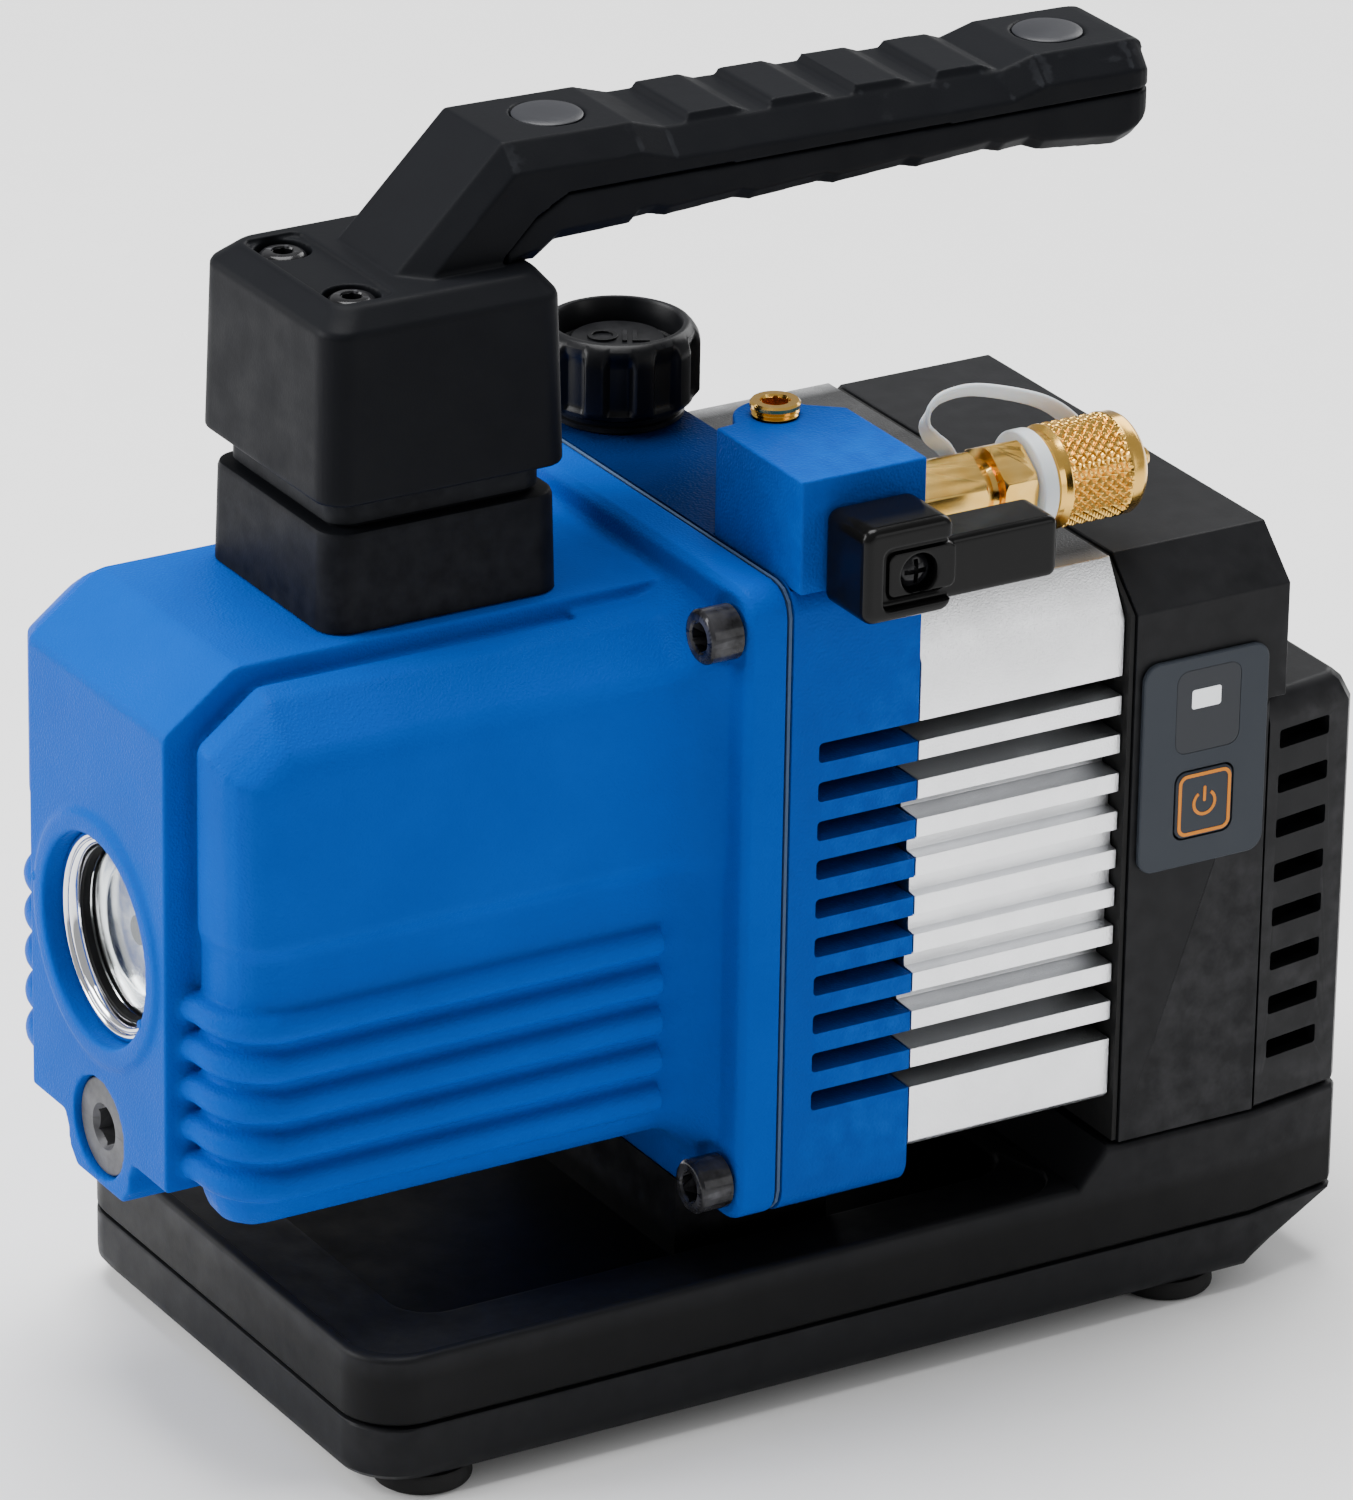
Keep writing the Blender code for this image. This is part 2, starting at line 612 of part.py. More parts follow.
def make_rear(frame):
    shell = extrude_outline("rear_housing", housing_section(0.0), "Y", HOUSE_FRONT, HOUSE_BACK, frame)
    bevel(shell, 0.8)
    inner = extrude_outline("housing_cut", housing_section(2.6), "Y", 176.0, 209.4, frame)
    low = block("housing_back_cut", (-60, 60), (208.6, 215.0), (30.0, COVER_TOP + 0.3), frame)
    cut(shell, inner, low)
    paint(shell, "charcoal")

    cover = extrude_outline("rear_cover", cover_outline(0.0), "Z", HOUSE_BOTTOM, COVER_TOP, frame)
    bevel(cover, 1.6)
    inner_bottom = HOUSE_BOTTOM + COVER_WALL
    inner_top = COVER_TOP - COVER_WALL
    inner_outline = cover_outline(COVER_WALL)
    inside = extrude_outline("cover_cut_in", inner_outline, "Z", inner_bottom, inner_top, frame)
    mouth = block("cover_mouth_cut", (-51.0, 51.0), (205.0, 212.0), (inner_bottom, inner_top), frame)
    cut(cover, inside, mouth)
    for i in range(SLOT_COUNT):
        z = SLOT_TOP_Z - SLOT_PITCH * i
        slot = block("slot_cut", (-60.0, 60.0), (211.4, 223.4), (z - 1.85, z + 1.85), frame)
        cut(cover, slot)
    bay_wall = block("bay_add", (-40.0, 40.0), (198.6, 228.0), (42.0, 111.6), frame)
    join(cover, bay_wall)
    cut(cover, block("bay_cut", (-36.4, 36.4), (200.6, 240.0), (45.2, 108.4), frame))
    paint(cover, "charcoal")

    pack = block("battery_pack", (-36.0, 36.0), (201.0, 234.8), (45.6, 108.0), frame)
    bevel(pack, 2.0)
    well = block("latch_well_cut", (-9.2, 9.2), (228.4, 240.0), (92.0, 104.0), frame)
    cut(pack, well)
    paint(pack, "charcoal")
    latch = block("battery_latch", (-8.8, 8.8), (-3.4, 0.0), (-4.6, 4.6), frame, (0, 234.4, 98.0))
    bevel(latch, 0.8)
    paint(latch, "orange")

    board = block("control_board", (-32, 32), (183.0, 184.6), (0, 26.0), frame, (0, 0, 113.5))
    cut(board, block("board_cut", (-20, 20), (180, 190), (-5.0, 3.0), frame, (0, 0, 110.0)))
    paint(board, "board")

    label_outline = rounded(180.7, 207.4, 89.3, 130.0, 3.0)
    label = extrude_outline("control_label", label_outline, "X", 55.7, 56.5, frame)
    hole_outline = rounded(187.9, 200.5, 94.6, 108.0, 2.2)
    key_hole = extrude_outline("key_hole_cut", hole_outline, "X", 50.0, 60.0, frame)
    led_hole = block("led_cut", (50.0, 60.0), (190.6, 197.5), (119.6, 123.8), frame)
    cut(label, key_hole, led_hole)
    paint(label, "slate")
    shell_key = extrude_outline("shell_key_cut", hole_outline, "X", 50.0, 60.0, frame)
    cut(shell, shell_key)
    key_outline = rounded(-6.0, 6.0, -6.4, 6.4, 2.0)
    key = extrude_outline("power_button", key_outline, "X", -2.6, 0.9, frame, (56.0, 194.2, 101.3))
    paint(key, "orange")


# ---------------------------------------------------------------- inlet valve


def inlet_outline(grow):
    x0 = INLET_X - INLET_HALF_W - grow
    x1 = INLET_X + INLET_HALF_W + grow
    y0 = INLET_Y[0] - grow
    y1 = INLET_Y[1] + grow
    r = 7.4 + grow
    outline = [(x1, y0), (x1, y1), (27.6 - grow, y1), (23.0 - grow, 129.2 + grow)]
    for i in range(7):
        angle = math.radians(110 + 140 * i / 6)
        outline.append((PLUG_X + r * math.cos(angle), PLUG_Y + r * math.sin(angle)))
    return outline + [(x0 - 0.4, 113.4), (x0, y0)]


def make_inlet(frame):
    body = extrude_outline("inlet_block", inlet_outline(0.0), "Z", INLET_BOTTOM, INLET_TOP, frame)
    bevel(body, 0.7, angle=50)
    port = turn("port_cut", disc(3.0, LEVER_Y, 140.0), "Y", (INLET_X, 0, PORT_Z), frame, 12)
    plug_bore = turn("plug_cut", disc(4.0, 170.0, 182.0), "Z", (PLUG_X, PLUG_Y, 0), frame, 12)
    ball_bore = turn("ball_cut", disc(4.6, INLET_X - 5.0, 60.0), "X", (0, LEVER_Y, PORT_Z), frame, 14)
    down = turn("down_cut", disc(2.4, 150.0, PORT_Z), "Z", (INLET_X - 2.0, LEVER_Y, 0), frame, 8)
    cut(body, port, plug_bore, ball_bore, down)
    paint(body, "blue")

    plug_profile = [(0, -0.6), (2.2, -0.6), (2.2, 2.8), (4.2, 2.8), (4.6, 2.4), (4.6, 0.3)]
    plug_profile += [(3.7, 0.3), (3.7, -7.0), (0, -7.0)]
    plug = turn("port_plug", plug_profile, "Z", (PLUG_X, PLUG_Y, INLET_TOP), frame, 14)
    paint(plug, "brass")
    ball_profile = [(0, -3.9)]
    for i in range(1, 6):
        angle = math.radians(-90 + 140 * i / 6)
        ball_profile.append((3.9 * math.cos(angle), 3.9 * math.sin(angle)))
    ball_profile += [(2.3, 3.4), (2.3, 16.6), (0, 16.6)]
    ball = turn("valve_ball", ball_profile, "X", (INLET_X, LEVER_Y, PORT_Z), frame, 14)
    through = turn("ball_bore_cut", disc(1.9, LEVER_Y - 6, LEVER_Y + 6), "Y", (INLET_X, 0, PORT_Z), frame, 8)
    cut(ball, through)
    paint(ball, "chrome")

    at = (0, LEVER_Y, PORT_Z)
    knob_outline = rounded(113.6 - LEVER_Y, 131.8 - LEVER_Y, 155.6 - PORT_Z, 173.4 - PORT_Z, 2.4, 2)
    lever = extrude_outline("valve_lever", knob_outline, "X", 55.0, LEVER_FACE, frame, at)
    arm_outline = rounded(4.0, 154.6 - LEVER_Y, 156.4 - PORT_Z, 167.8 - PORT_Z, 2.0, 2)
    join(lever, extrude_outline("arm_add", arm_outline, "X", 56.0, LEVER_FACE - 2.4, frame, at))
    dish = rounded(-7.6, 9.0, -4.4, 6.2, 1.5, 2)
    cut(lever, extrude_outline("lever_dish_cut", dish, "X", LEVER_FACE - 2.4, 75.0, frame, at))
    cut(lever, turn("lever_bore_cut", disc(2.6, 50.0, 57.4), "X", at, frame, 12))
    cut(lever, turn("lever_screw_cut", disc(3.7, LEVER_FACE - 5.4, 75.0), "X", at, frame, 12))
    cut(lever, turn("lever_pin_cut", disc(1.8, 56.0, 70.0), "X", at, frame, 8))
    paint(lever, "black")
    screw_profile = [(0, 57.2), (1.5, 57.2), (1.5, LEVER_FACE - 5.1), (3.4, LEVER_FACE - 5.1)]
    screw_profile += [(3.2, LEVER_FACE - 3.6), (0, LEVER_FACE - 3.0)]
    screw = turn("lever_screw", screw_profile, "X", at, frame, 12)
    paint(screw, "oxide")

    port_at = (INLET_X, 0, PORT_Z)
    hexagon = polygon(8.3, 6, (INLET_X, PORT_Z), 84)
    fitting = extrude_outline("inlet_fitting", hexagon, "Y", 135.1, 152.4, frame)
    neck = turn("neck_add", disc(5.3, 150.0, 158.0), "Y", port_at, frame, 14)
    second = extrude_outline("hex_add", polygon(8.6, 6, (INLET_X, PORT_Z), 84), "Y", 155.8, 162.6, frame)
    nose = turn("nose_add", disc(5.4, 160.0, 180.6), "Y", port_at, frame, 14)
    join(fitting, neck, second, nose)
    cut(fitting, turn("fitting_cut", disc(2.4, 130.0, 185.0), "Y", port_at, frame, 10))
    paint(fitting, "brass")
    strap_ring = turn("strap_ring", tube(5.7, 9.4, 163.0, 166.2), "Y", port_at, frame, 20)
    paint(strap_ring, "strap")
    seal = turn("cap_seal", tube(2.0, 5.3, 180.9, 182.4), "Y", port_at, frame, 14)
    paint(seal, "rubber")
    cap_profile = [(5.7, 0.0), (8.0, 0.0), (8.3, 2.2), (CAP_R, 2.8), (CAP_R, 16.2), (7.6, 19.0)]
    cap_profile += [(2.2, 19.0), (2.2, 23.4), (0, 23.4), (0, 16.4), (5.7, 16.4)]
    cap = turn("flare_cap", cap_profile, "Y", (INLET_X, CAP_Y[0], PORT_Z), frame, 20)
    paint(cap, "brass")

    loop = bpy.data.curves.new("cap_strap", "CURVE")
    loop.dimensions = "3D"
    loop.bevel_depth = 1.2 * MM
    loop.bevel_resolution = 2
    loop.use_fill_caps = True
    spline = loop.splines.new("POLY")
    anchors = [(0.0, 154.1, 6.9), (-0.1, 154.1, 8.8), (-0.3, 153.6, 10.8), (-1.5, 148.0, 12.8)]
    anchors += [(-1.9, 145.6, 14.9), (-2.5, 148.0, 17.0), (-4.0, 156.0, 18.2)]
    anchors += [(-6.4, 168.0, 15.6), (-9.0, 178.0, 8.8), (-11.4, 182.0, 2.4)]
    anchors += [(-11.6, 176.0, 0.4), (-10.9, 166.0, 0.0)]
    points = smooth_path(anchors, 3)
    spline.points.add(len(points) - 1)
    for point, (x, y, z) in zip(spline.points, points):
        point.co = (x * MM, (y - CAP_Y[0]) * MM, z * MM, 1.0)
    strap = bpy.data.objects.new("cap_strap", loop)
    bpy.context.scene.collection.objects.link(strap)
    strap.parent = frame
    strap.location = Vector((INLET_X, CAP_Y[0], PORT_Z)) * MM
    paint(strap, "strap")


def smooth_path(anchors, steps):
    """A Catmull-Rom curve through the anchors."""
    points = []
    for i in range(len(anchors) - 1):
        p0 = Vector(anchors[max(i - 1, 0)])
        p1 = Vector(anchors[i])
        p2 = Vector(anchors[i + 1])
        p3 = Vector(anchors[min(i + 2, len(anchors) - 1)])
        for k in range(steps):
            t = k / steps
            bend = (2 * p0 - 5 * p1 + 4 * p2 - p3) * t * t
            swing = (3 * p1 - p0 - 3 * p2 + p3) * t ** 3
            points.append(tuple((2 * p1 + (p2 - p0) * t + bend + swing) / 2))
    points.append(tuple(anchors[-1]))
    return points


def make_filler(frame):
    at = (FILL_X, FILL_Y, FLANGE_TOP)
    neck_profile = [(5.0, -12.0), (6.6, -12.0), (6.6, 0.3), (11.9, 0.3), (11.9, 2.6), (9.4, 2.6)]
    neck_profile += [(9.4, 9.0), (5.0, 9.0)]
    neck = turn("filler_neck", neck_profile, "Z", at, frame, 22)
    paint(neck, "charcoal")
    seal = turn("filler_seal", tube(6.0, 9.2, 9.3, 10.3), "Z", at, frame, 20)
    paint(seal, "rubber")
    profile = [(9.8, 3.0), (13.2, 3.0), (FILL_R, 5.0), (FILL_R, 15.4), (12.6, 17.8), (11.6, 17.8)]
    profile += [(11.4, 13.6), (8.4, 13.4), (8.2, 14.6), (0, 14.8), (0, 10.6), (9.8, 10.6)]
    cap = turn("filler_cap", profile, "Z", at, frame, 28)
    for i in range(10):
        angle = math.tau * (i + 0.3) / 10
        grip = turn("grip_cut", disc(2.6, 5.6, 14.2), "Z", at, frame, 8)
        grip.location += Vector((math.cos(angle), math.sin(angle), 0)) * (FILL_R + 1.2) * MM
        cut(cap, grip)
    paint(cap, "black")


def make_handle(frame):
    x = POST_HALF_W
    y0, y1 = POST_Y
    rings = [
        (RIM_TOP + 0.3, rounded(-x, x, y0, y1, 4.8)),
        (POST_TOP - 1.2, rounded(-x + 0.6, x - 0.6, y0 + 0.6, y1 - 0.6, 4.8)),
        (POST_TOP, rounded(-x + 1.8, x - 1.8, y0 + 1.8, y1 - 1.8, 4.4)),
    ]
    post = loft("handle_post", rings, frame, smooth=40)
    neck_outline = rounded(-x + 2.6, x - 2.6, y0 + 2.4, y1 - 4.2, 4.5)
    neck = extrude_outline("neck_add", neck_outline, "Z", POST_TOP - 3.0, HEAD_BOTTOM - 0.3, frame)
    join(post, neck)
    core = extrude_outline("post_cut", rounded(-15.4, 15.4, 40.6, 73.0, 4.0), "Z", 156.0, 190.0, frame)
    port = turn("post_port_cut", disc(6.0, 140.0, 160.0), "Z", (0, 56.8, 0), frame, 12)
    cut(post, core, port)
    paint(post, "charcoal")

    filter_outline = rounded(-14.6, 14.6, 41.4, 72.2, 3.6)
    element = extrude_outline("exhaust_filter", filter_outline, "Z", 156.6, 200.0, frame)
    paint(element, "filter")

    head = loft(
        "handle_head",
        [
            (HEAD_BOTTOM, rounded(-x - 0.9, x + 0.9, y0 - 0.2, y1 - 0.4, 4.6)),
            (HEAD_BOTTOM + 0.8, rounded(-x - 1.6, x + 1.6, y0 - 0.8, y1 + 0.2, 4.8)),
            (HEAD_SIDE_TOP, rounded(-x - 1.0, x + 1.0, y0 - 0.2, y1 - 0.6, 4.8)),
            (HEAD_TOP, rounded(-x + 3.0, x - 3.0, y0 + 4.0, y1 - 3.4, 4.4)),
        ],
        frame,
        smooth=32,
    )
    pocket = extrude_outline("head_cut", rounded(-15.4, 15.4, 40.6, 73.0, 4.0), "Z", 170.0, 201.0, frame)
    panel = extrude_outline("panel_cut", rounded(-17.6, 17.6, 38.6, 49.4, 2.0), "Z", 211.2, 215.0, frame)
    cut(head, pocket, panel)
    for sx in (-12.4, 12.4):
        cut(head, turn("head_screw_cut", disc(3.9, 207.4, 215.0), "Z", (sx, 43.8, 0), frame, 12))
        cut(head, turn("head_pin_cut", disc(2.0, 202.5, 208.0), "Z", (sx, 43.8, 0), frame, 8))
    side = [(53.0, 209.0), (53.0, 211.5), (74.6, GRIP_TOP), (203.0, 229.4), (GRIP_END, 226.0)]
    side += [(GRIP_END, 222.3), (86.0, 222.3), (79.0, 219.4), (72.6, 213.0), (72.6, 209.0)]
    arm = extrude_outline("arm_base_add", side, "X", -GRIP_HALF_W, GRIP_HALF_W, frame)
    bevel(arm, 3.6)
    join(head, arm)
    paint(head, "charcoal")
    for sx, name in ((-12.4, "l"), (12.4, "r")):
        profile = [(0, 203.0), (1.7, 203.0), (1.7, 207.7), (3.6, 207.7), (3.6, 209.4), (2.4, 210.8)]
        profile += [(1.3, 210.8), (1.3, 209.0), (0, 209.0)]
        screw = turn("handle_screw_" + name, profile, "Z", (sx, 43.8, 0), frame, 12)
        paint(screw, "oxide")

    under = [(73.2, 212.2), (78.6, 212.2), (80.6, 211.6), (84.0, 213.6), (98.0, 214.0)]
    under += [(102.8, 215.2), (112.0, 214.0)]
    for i in range(1, 5):
        under += [(104.6 + 18.4 * i, 215.4), (112.8 + 18.4 * i, 213.8)]
    under += [(198.0, 211.8), (203.4, 212.4), (GRIP_END, 214.8), (GRIP_END, 221.8), (86.2, 221.8)]
    under += [(79.4, 219.0)]
    lower = extrude_outline("grip_lower", under, "X", -GRIP_HALF_W, GRIP_HALF_W, frame)
    paint(lower, "charcoal")


def main():
    clear_scene()
    frame = bpy.data.objects.new("pump_frame", None)
    bpy.context.scene.collection.objects.link(frame)
    frame.location = Vector((FRAME_X, FRAME_Y, 0.0)) * MM
    make_base(frame)
    make_tank(frame)
    make_pump(frame)
    make_motor(frame)
    make_rear(frame)
    make_inlet(frame)
    make_filler(frame)
    make_handle(frame)


main()
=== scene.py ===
"""Looks of the cordless rotary vane vacuum pump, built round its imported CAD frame.

Every piece is modelled in millimetres in the drawing frame (X = 0 on the mid plane, Y = 0 at
the tank's front face, Z = 0 on the floor) and then moved into the row frame in metres.
"""

import math

import bmesh
import bpy
from mathutils import Matrix, Vector


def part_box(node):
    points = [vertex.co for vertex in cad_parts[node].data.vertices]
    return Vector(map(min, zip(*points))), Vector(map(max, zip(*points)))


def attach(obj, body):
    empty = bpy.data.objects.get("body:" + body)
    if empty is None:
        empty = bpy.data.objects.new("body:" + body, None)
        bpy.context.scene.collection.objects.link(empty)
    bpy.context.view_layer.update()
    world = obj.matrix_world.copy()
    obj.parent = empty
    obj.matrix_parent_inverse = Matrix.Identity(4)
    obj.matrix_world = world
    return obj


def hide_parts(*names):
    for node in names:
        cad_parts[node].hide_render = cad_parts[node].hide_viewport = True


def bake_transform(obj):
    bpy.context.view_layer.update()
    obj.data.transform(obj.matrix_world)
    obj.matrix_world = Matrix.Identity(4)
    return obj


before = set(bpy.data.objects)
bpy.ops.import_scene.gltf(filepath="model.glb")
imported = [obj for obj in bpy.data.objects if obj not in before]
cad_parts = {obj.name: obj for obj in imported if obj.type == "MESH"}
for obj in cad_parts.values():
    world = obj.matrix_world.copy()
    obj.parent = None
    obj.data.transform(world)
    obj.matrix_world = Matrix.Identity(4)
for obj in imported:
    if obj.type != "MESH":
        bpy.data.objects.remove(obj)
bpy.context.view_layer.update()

MM = 0.001
BLOCK_FRONT = 109.0

motor_low, motor_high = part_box("motor_housing")
SHIFT = Vector((
    (motor_low[0] + motor_high[0]) / 2,
    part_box("pump_block")[0][1] - BLOCK_FRONT * MM,
    0.0,
))
TO_ROW = Matrix.Translation(SHIFT) @ Matrix.Scale(MM, 4)

SHAFT_Z = 92.0
GLASS_Z = 94.0
DRAIN_Z = 57.4
PORT_X = 39.8
PORT_Y = 125.6
PORT_Z = 163.1
HEX_PHASE = 84
PLUG_AT = (24.6, 121.8, 0)
HANDLE_SCREW_X = 12.4
HANDLE_SCREW_Y = 43.8
GAUGE_X = tuple(-26.0 + 3.6 * i for i in range(4))
GAUGE_Z = 98.0
BOLTS = {"low": 44.6, "top": 150.6}
BOLT_X = 48.2
RIB_PITCH = 7.5
GROOVE_FIRST_Z = 58.6
GROOVE_COUNT = 10


# ------------------------------------------------------------------ materials


def nodes_of(mat):
    tree = mat.node_tree
    return tree.nodes, tree.links, tree.nodes["Principled BSDF"]


def noise(mat, scale, detail=3.0, rough=0.55, stretch=(1, 1, 1)):
    """A noise texture in object space; scale is per metre."""
    nodes, links, _ = nodes_of(mat)
    coord = nodes.new("ShaderNodeTexCoord")
    mapping = nodes.new("ShaderNodeMapping")
    mapping.inputs["Scale"].default_value = stretch
    texture = nodes.new("ShaderNodeTexNoise")
    texture.inputs["Scale"].default_value = scale
    texture.inputs["Detail"].default_value = detail
    texture.inputs["Roughness"].default_value = rough
    links.new(coord.outputs["Object"], mapping.inputs["Vector"])
    links.new(mapping.outputs["Vector"], texture.inputs["Vector"])
    return texture.outputs["Fac"]


def cells(mat, scale):
    """A Voronoi distance texture in object space, for a stippled or sparked grain."""
    nodes, links, _ = nodes_of(mat)
    coord = nodes.new("ShaderNodeTexCoord")
    texture = nodes.new("ShaderNodeTexVoronoi")
    texture.feature = "SMOOTH_F1"
    texture.inputs["Scale"].default_value = scale
    links.new(coord.outputs["Object"], texture.inputs["Vector"])
    return texture.outputs["Distance"]


def spread(mat, value, low, high, start=0.3, end=0.7):
    nodes, links, _ = nodes_of(mat)
    ranger = nodes.new("ShaderNodeMapRange")
    ranger.inputs["From Min"].default_value = start
    ranger.inputs["From Max"].default_value = end
    ranger.inputs["To Min"].default_value = low
    ranger.inputs["To Max"].default_value = high
    links.new(value, ranger.inputs["Value"])
    return ranger.outputs["Result"]


def mix(mat, factor, first, second):
    nodes, links, _ = nodes_of(mat)
    mixer = nodes.new("ShaderNodeMix")
    mixer.data_type = "RGBA"
    for socket, value in ((mixer.inputs["A"], first), (mixer.inputs["B"], second)):
        if isinstance(value, tuple):
            for item in mixer.inputs:
                if item.name == socket.name and item.type == "RGBA":
                    item.default_value = (*value, 1.0)
        else:
            for item in mixer.inputs:
                if item.name == socket.name and item.type == "RGBA":
                    links.new(value, item)
    links.new(factor, mixer.inputs["Factor"])
    return [out for out in mixer.outputs if out.type == "RGBA"][0]


def bump(mat, height, strength, distance, under=None):
    nodes, links, _ = nodes_of(mat)
    bumper = nodes.new("ShaderNodeBump")
    bumper.inputs["Strength"].default_value = strength
    bumper.inputs["Distance"].default_value = distance * MM
    links.new(height, bumper.inputs["Height"])
    if under is not None:
        links.new(under, bumper.inputs["Normal"])
    return bumper.outputs["Normal"]


def edge_mask(mat):
    """1 on outer edges and 0 elsewhere."""
    geometry = nodes_of(mat)[0].new("ShaderNodeNewGeometry")
    return spread(mat, geometry.outputs["Pointiness"], 0.0, 1.0, 0.52, 0.6)


def surface(
    name,
    colour,
    rough,
    metal=0.0,
    vary=0.08,
    rough_vary=0.06,
    grain=None,
    stipple=None,
    streak=None,
    edge=None,
    shine=0.25,
    fade=None,
):
    """A solid finish: mottled colour and roughness, one or two grains, lighter edges that are partly wear and
    partly a painted highlight, and optional painted shade.

    fade = (axis, low, high, share) paints shade: it darkens the colour to a share of itself below a height
    in millimetres along one axis, counted as a distance from the middle on X, where shade falls in grooves,
    slots and pockets.
    """
    mat = bpy.data.materials.new(name)
    mat.use_nodes = True
    nodes, links, shader = nodes_of(mat)
    shader.inputs["Metallic"].default_value = metal
    shader.inputs["Specular IOR Level"].default_value = 0.5 if metal > 0.9 else shine
    dark = tuple(c * (1 - vary) for c in colour)
    light = tuple(min(c * (1 + vary), 1.0) for c in colour)
    blotch = spread(mat, noise(mat, 38.0, 4.0), 0.0, 1.0)
    shade = mix(mat, blotch, dark, light)
    # lighter edges: partly wear, partly a painted highlight along crests and rims
    if edge is not None:
        edge_colour, amount = edge
        mask = spread(mat, noise(mat, 240.0, 3.0), 0.0, amount, 0.35, 0.7)
        nodes_multiply = nodes.new("ShaderNodeMath")
        nodes_multiply.operation = "MULTIPLY"
        links.new(edge_mask(mat), nodes_multiply.inputs[0])
        links.new(mask, nodes_multiply.inputs[1])
        shade = mix(mat, nodes_multiply.outputs[0], shade, edge_colour)
    # painted shade: the colour darkens towards the floor of grooves, slots and pockets, where shade falls
    if fade is not None:
        axis, low, high, share = fade
        coord = nodes.new("ShaderNodeTexCoord")
        parts = nodes.new("ShaderNodeSeparateXYZ")
        links.new(coord.outputs["Object"], parts.inputs["Vector"])
        reach = parts.outputs[axis]
        if axis == "X":
            centred = nodes.new("ShaderNodeMath")
            centred.operation = "SUBTRACT"
            centred.inputs[1].default_value = SHIFT.x
            links.new(reach, centred.inputs[0])
            apart = nodes.new("ShaderNodeMath")
            apart.operation = "ABSOLUTE"
            links.new(centred.outputs[0], apart.inputs[0])
            reach = apart.outputs[0]
        painted_shade_colour = tuple(c * share for c in colour)
        shade = mix(mat, spread(mat, reach, 0.0, 1.0, low * MM, high * MM), painted_shade_colour, shade)
    links.new(shade, shader.inputs["Base Color"])
    wave = noise(mat, 130.0, 5.0, 0.6)
    if streak is not None:
        wave = noise(mat, streak[0], 3.0, 0.6, streak[1])
    links.new(spread(mat, wave, rough - rough_vary, rough + rough_vary), shader.inputs["Roughness"])
    normal = None
    if streak is not None:
        normal = bump(mat, wave, streak[2], 0.02)
    if grain is not None:
        size, strength, depth = grain
        normal = bump(mat, noise(mat, 1 / (size * MM), 2.0), strength, depth, normal)
    if stipple is not None:
        size, strength, depth = stipple
        normal = bump(mat, cells(mat, 1 / (size * MM)), strength, depth, normal)
    if normal is not None:
        links.new(normal, shader.inputs["Normal"])
    return mat


def clear_glass():
    mat = surface("clear_glass", (0.96, 0.98, 0.98), 0.03, rough_vary=0.01, vary=0.01)
    shader = nodes_of(mat)[2]
    shader.inputs["Transmission Weight"].default_value = 1.0
    shader.inputs["IOR"].default_value = 1.2
    return mat


def milky_strap():
    mat = surface("milky_strap", (0.80, 0.85, 0.90), 0.34, vary=0.03, grain=(0.5, 0.1, 0.05))
    shader = nodes_of(mat)[2]
    shader.inputs["Subsurface Weight"].default_value = 0.5
    shader.inputs["Subsurface Radius"].default_value = (0.6, 0.8, 1.0)
    shader.inputs["Subsurface Scale"].default_value = 0.002
    shader.inputs["Transmission Weight"].default_value = 0.25
    return mat


def lit_window():
    mat = surface("lit_window", (0.85, 0.87, 0.88), 0.3, vary=0.04)
    shader = nodes_of(mat)[2]
    shader.inputs["Emission Color"].default_value = (0.9, 0.95, 1.0, 1.0)
    shader.inputs["Emission Strength"].default_value = 0.35
    return mat


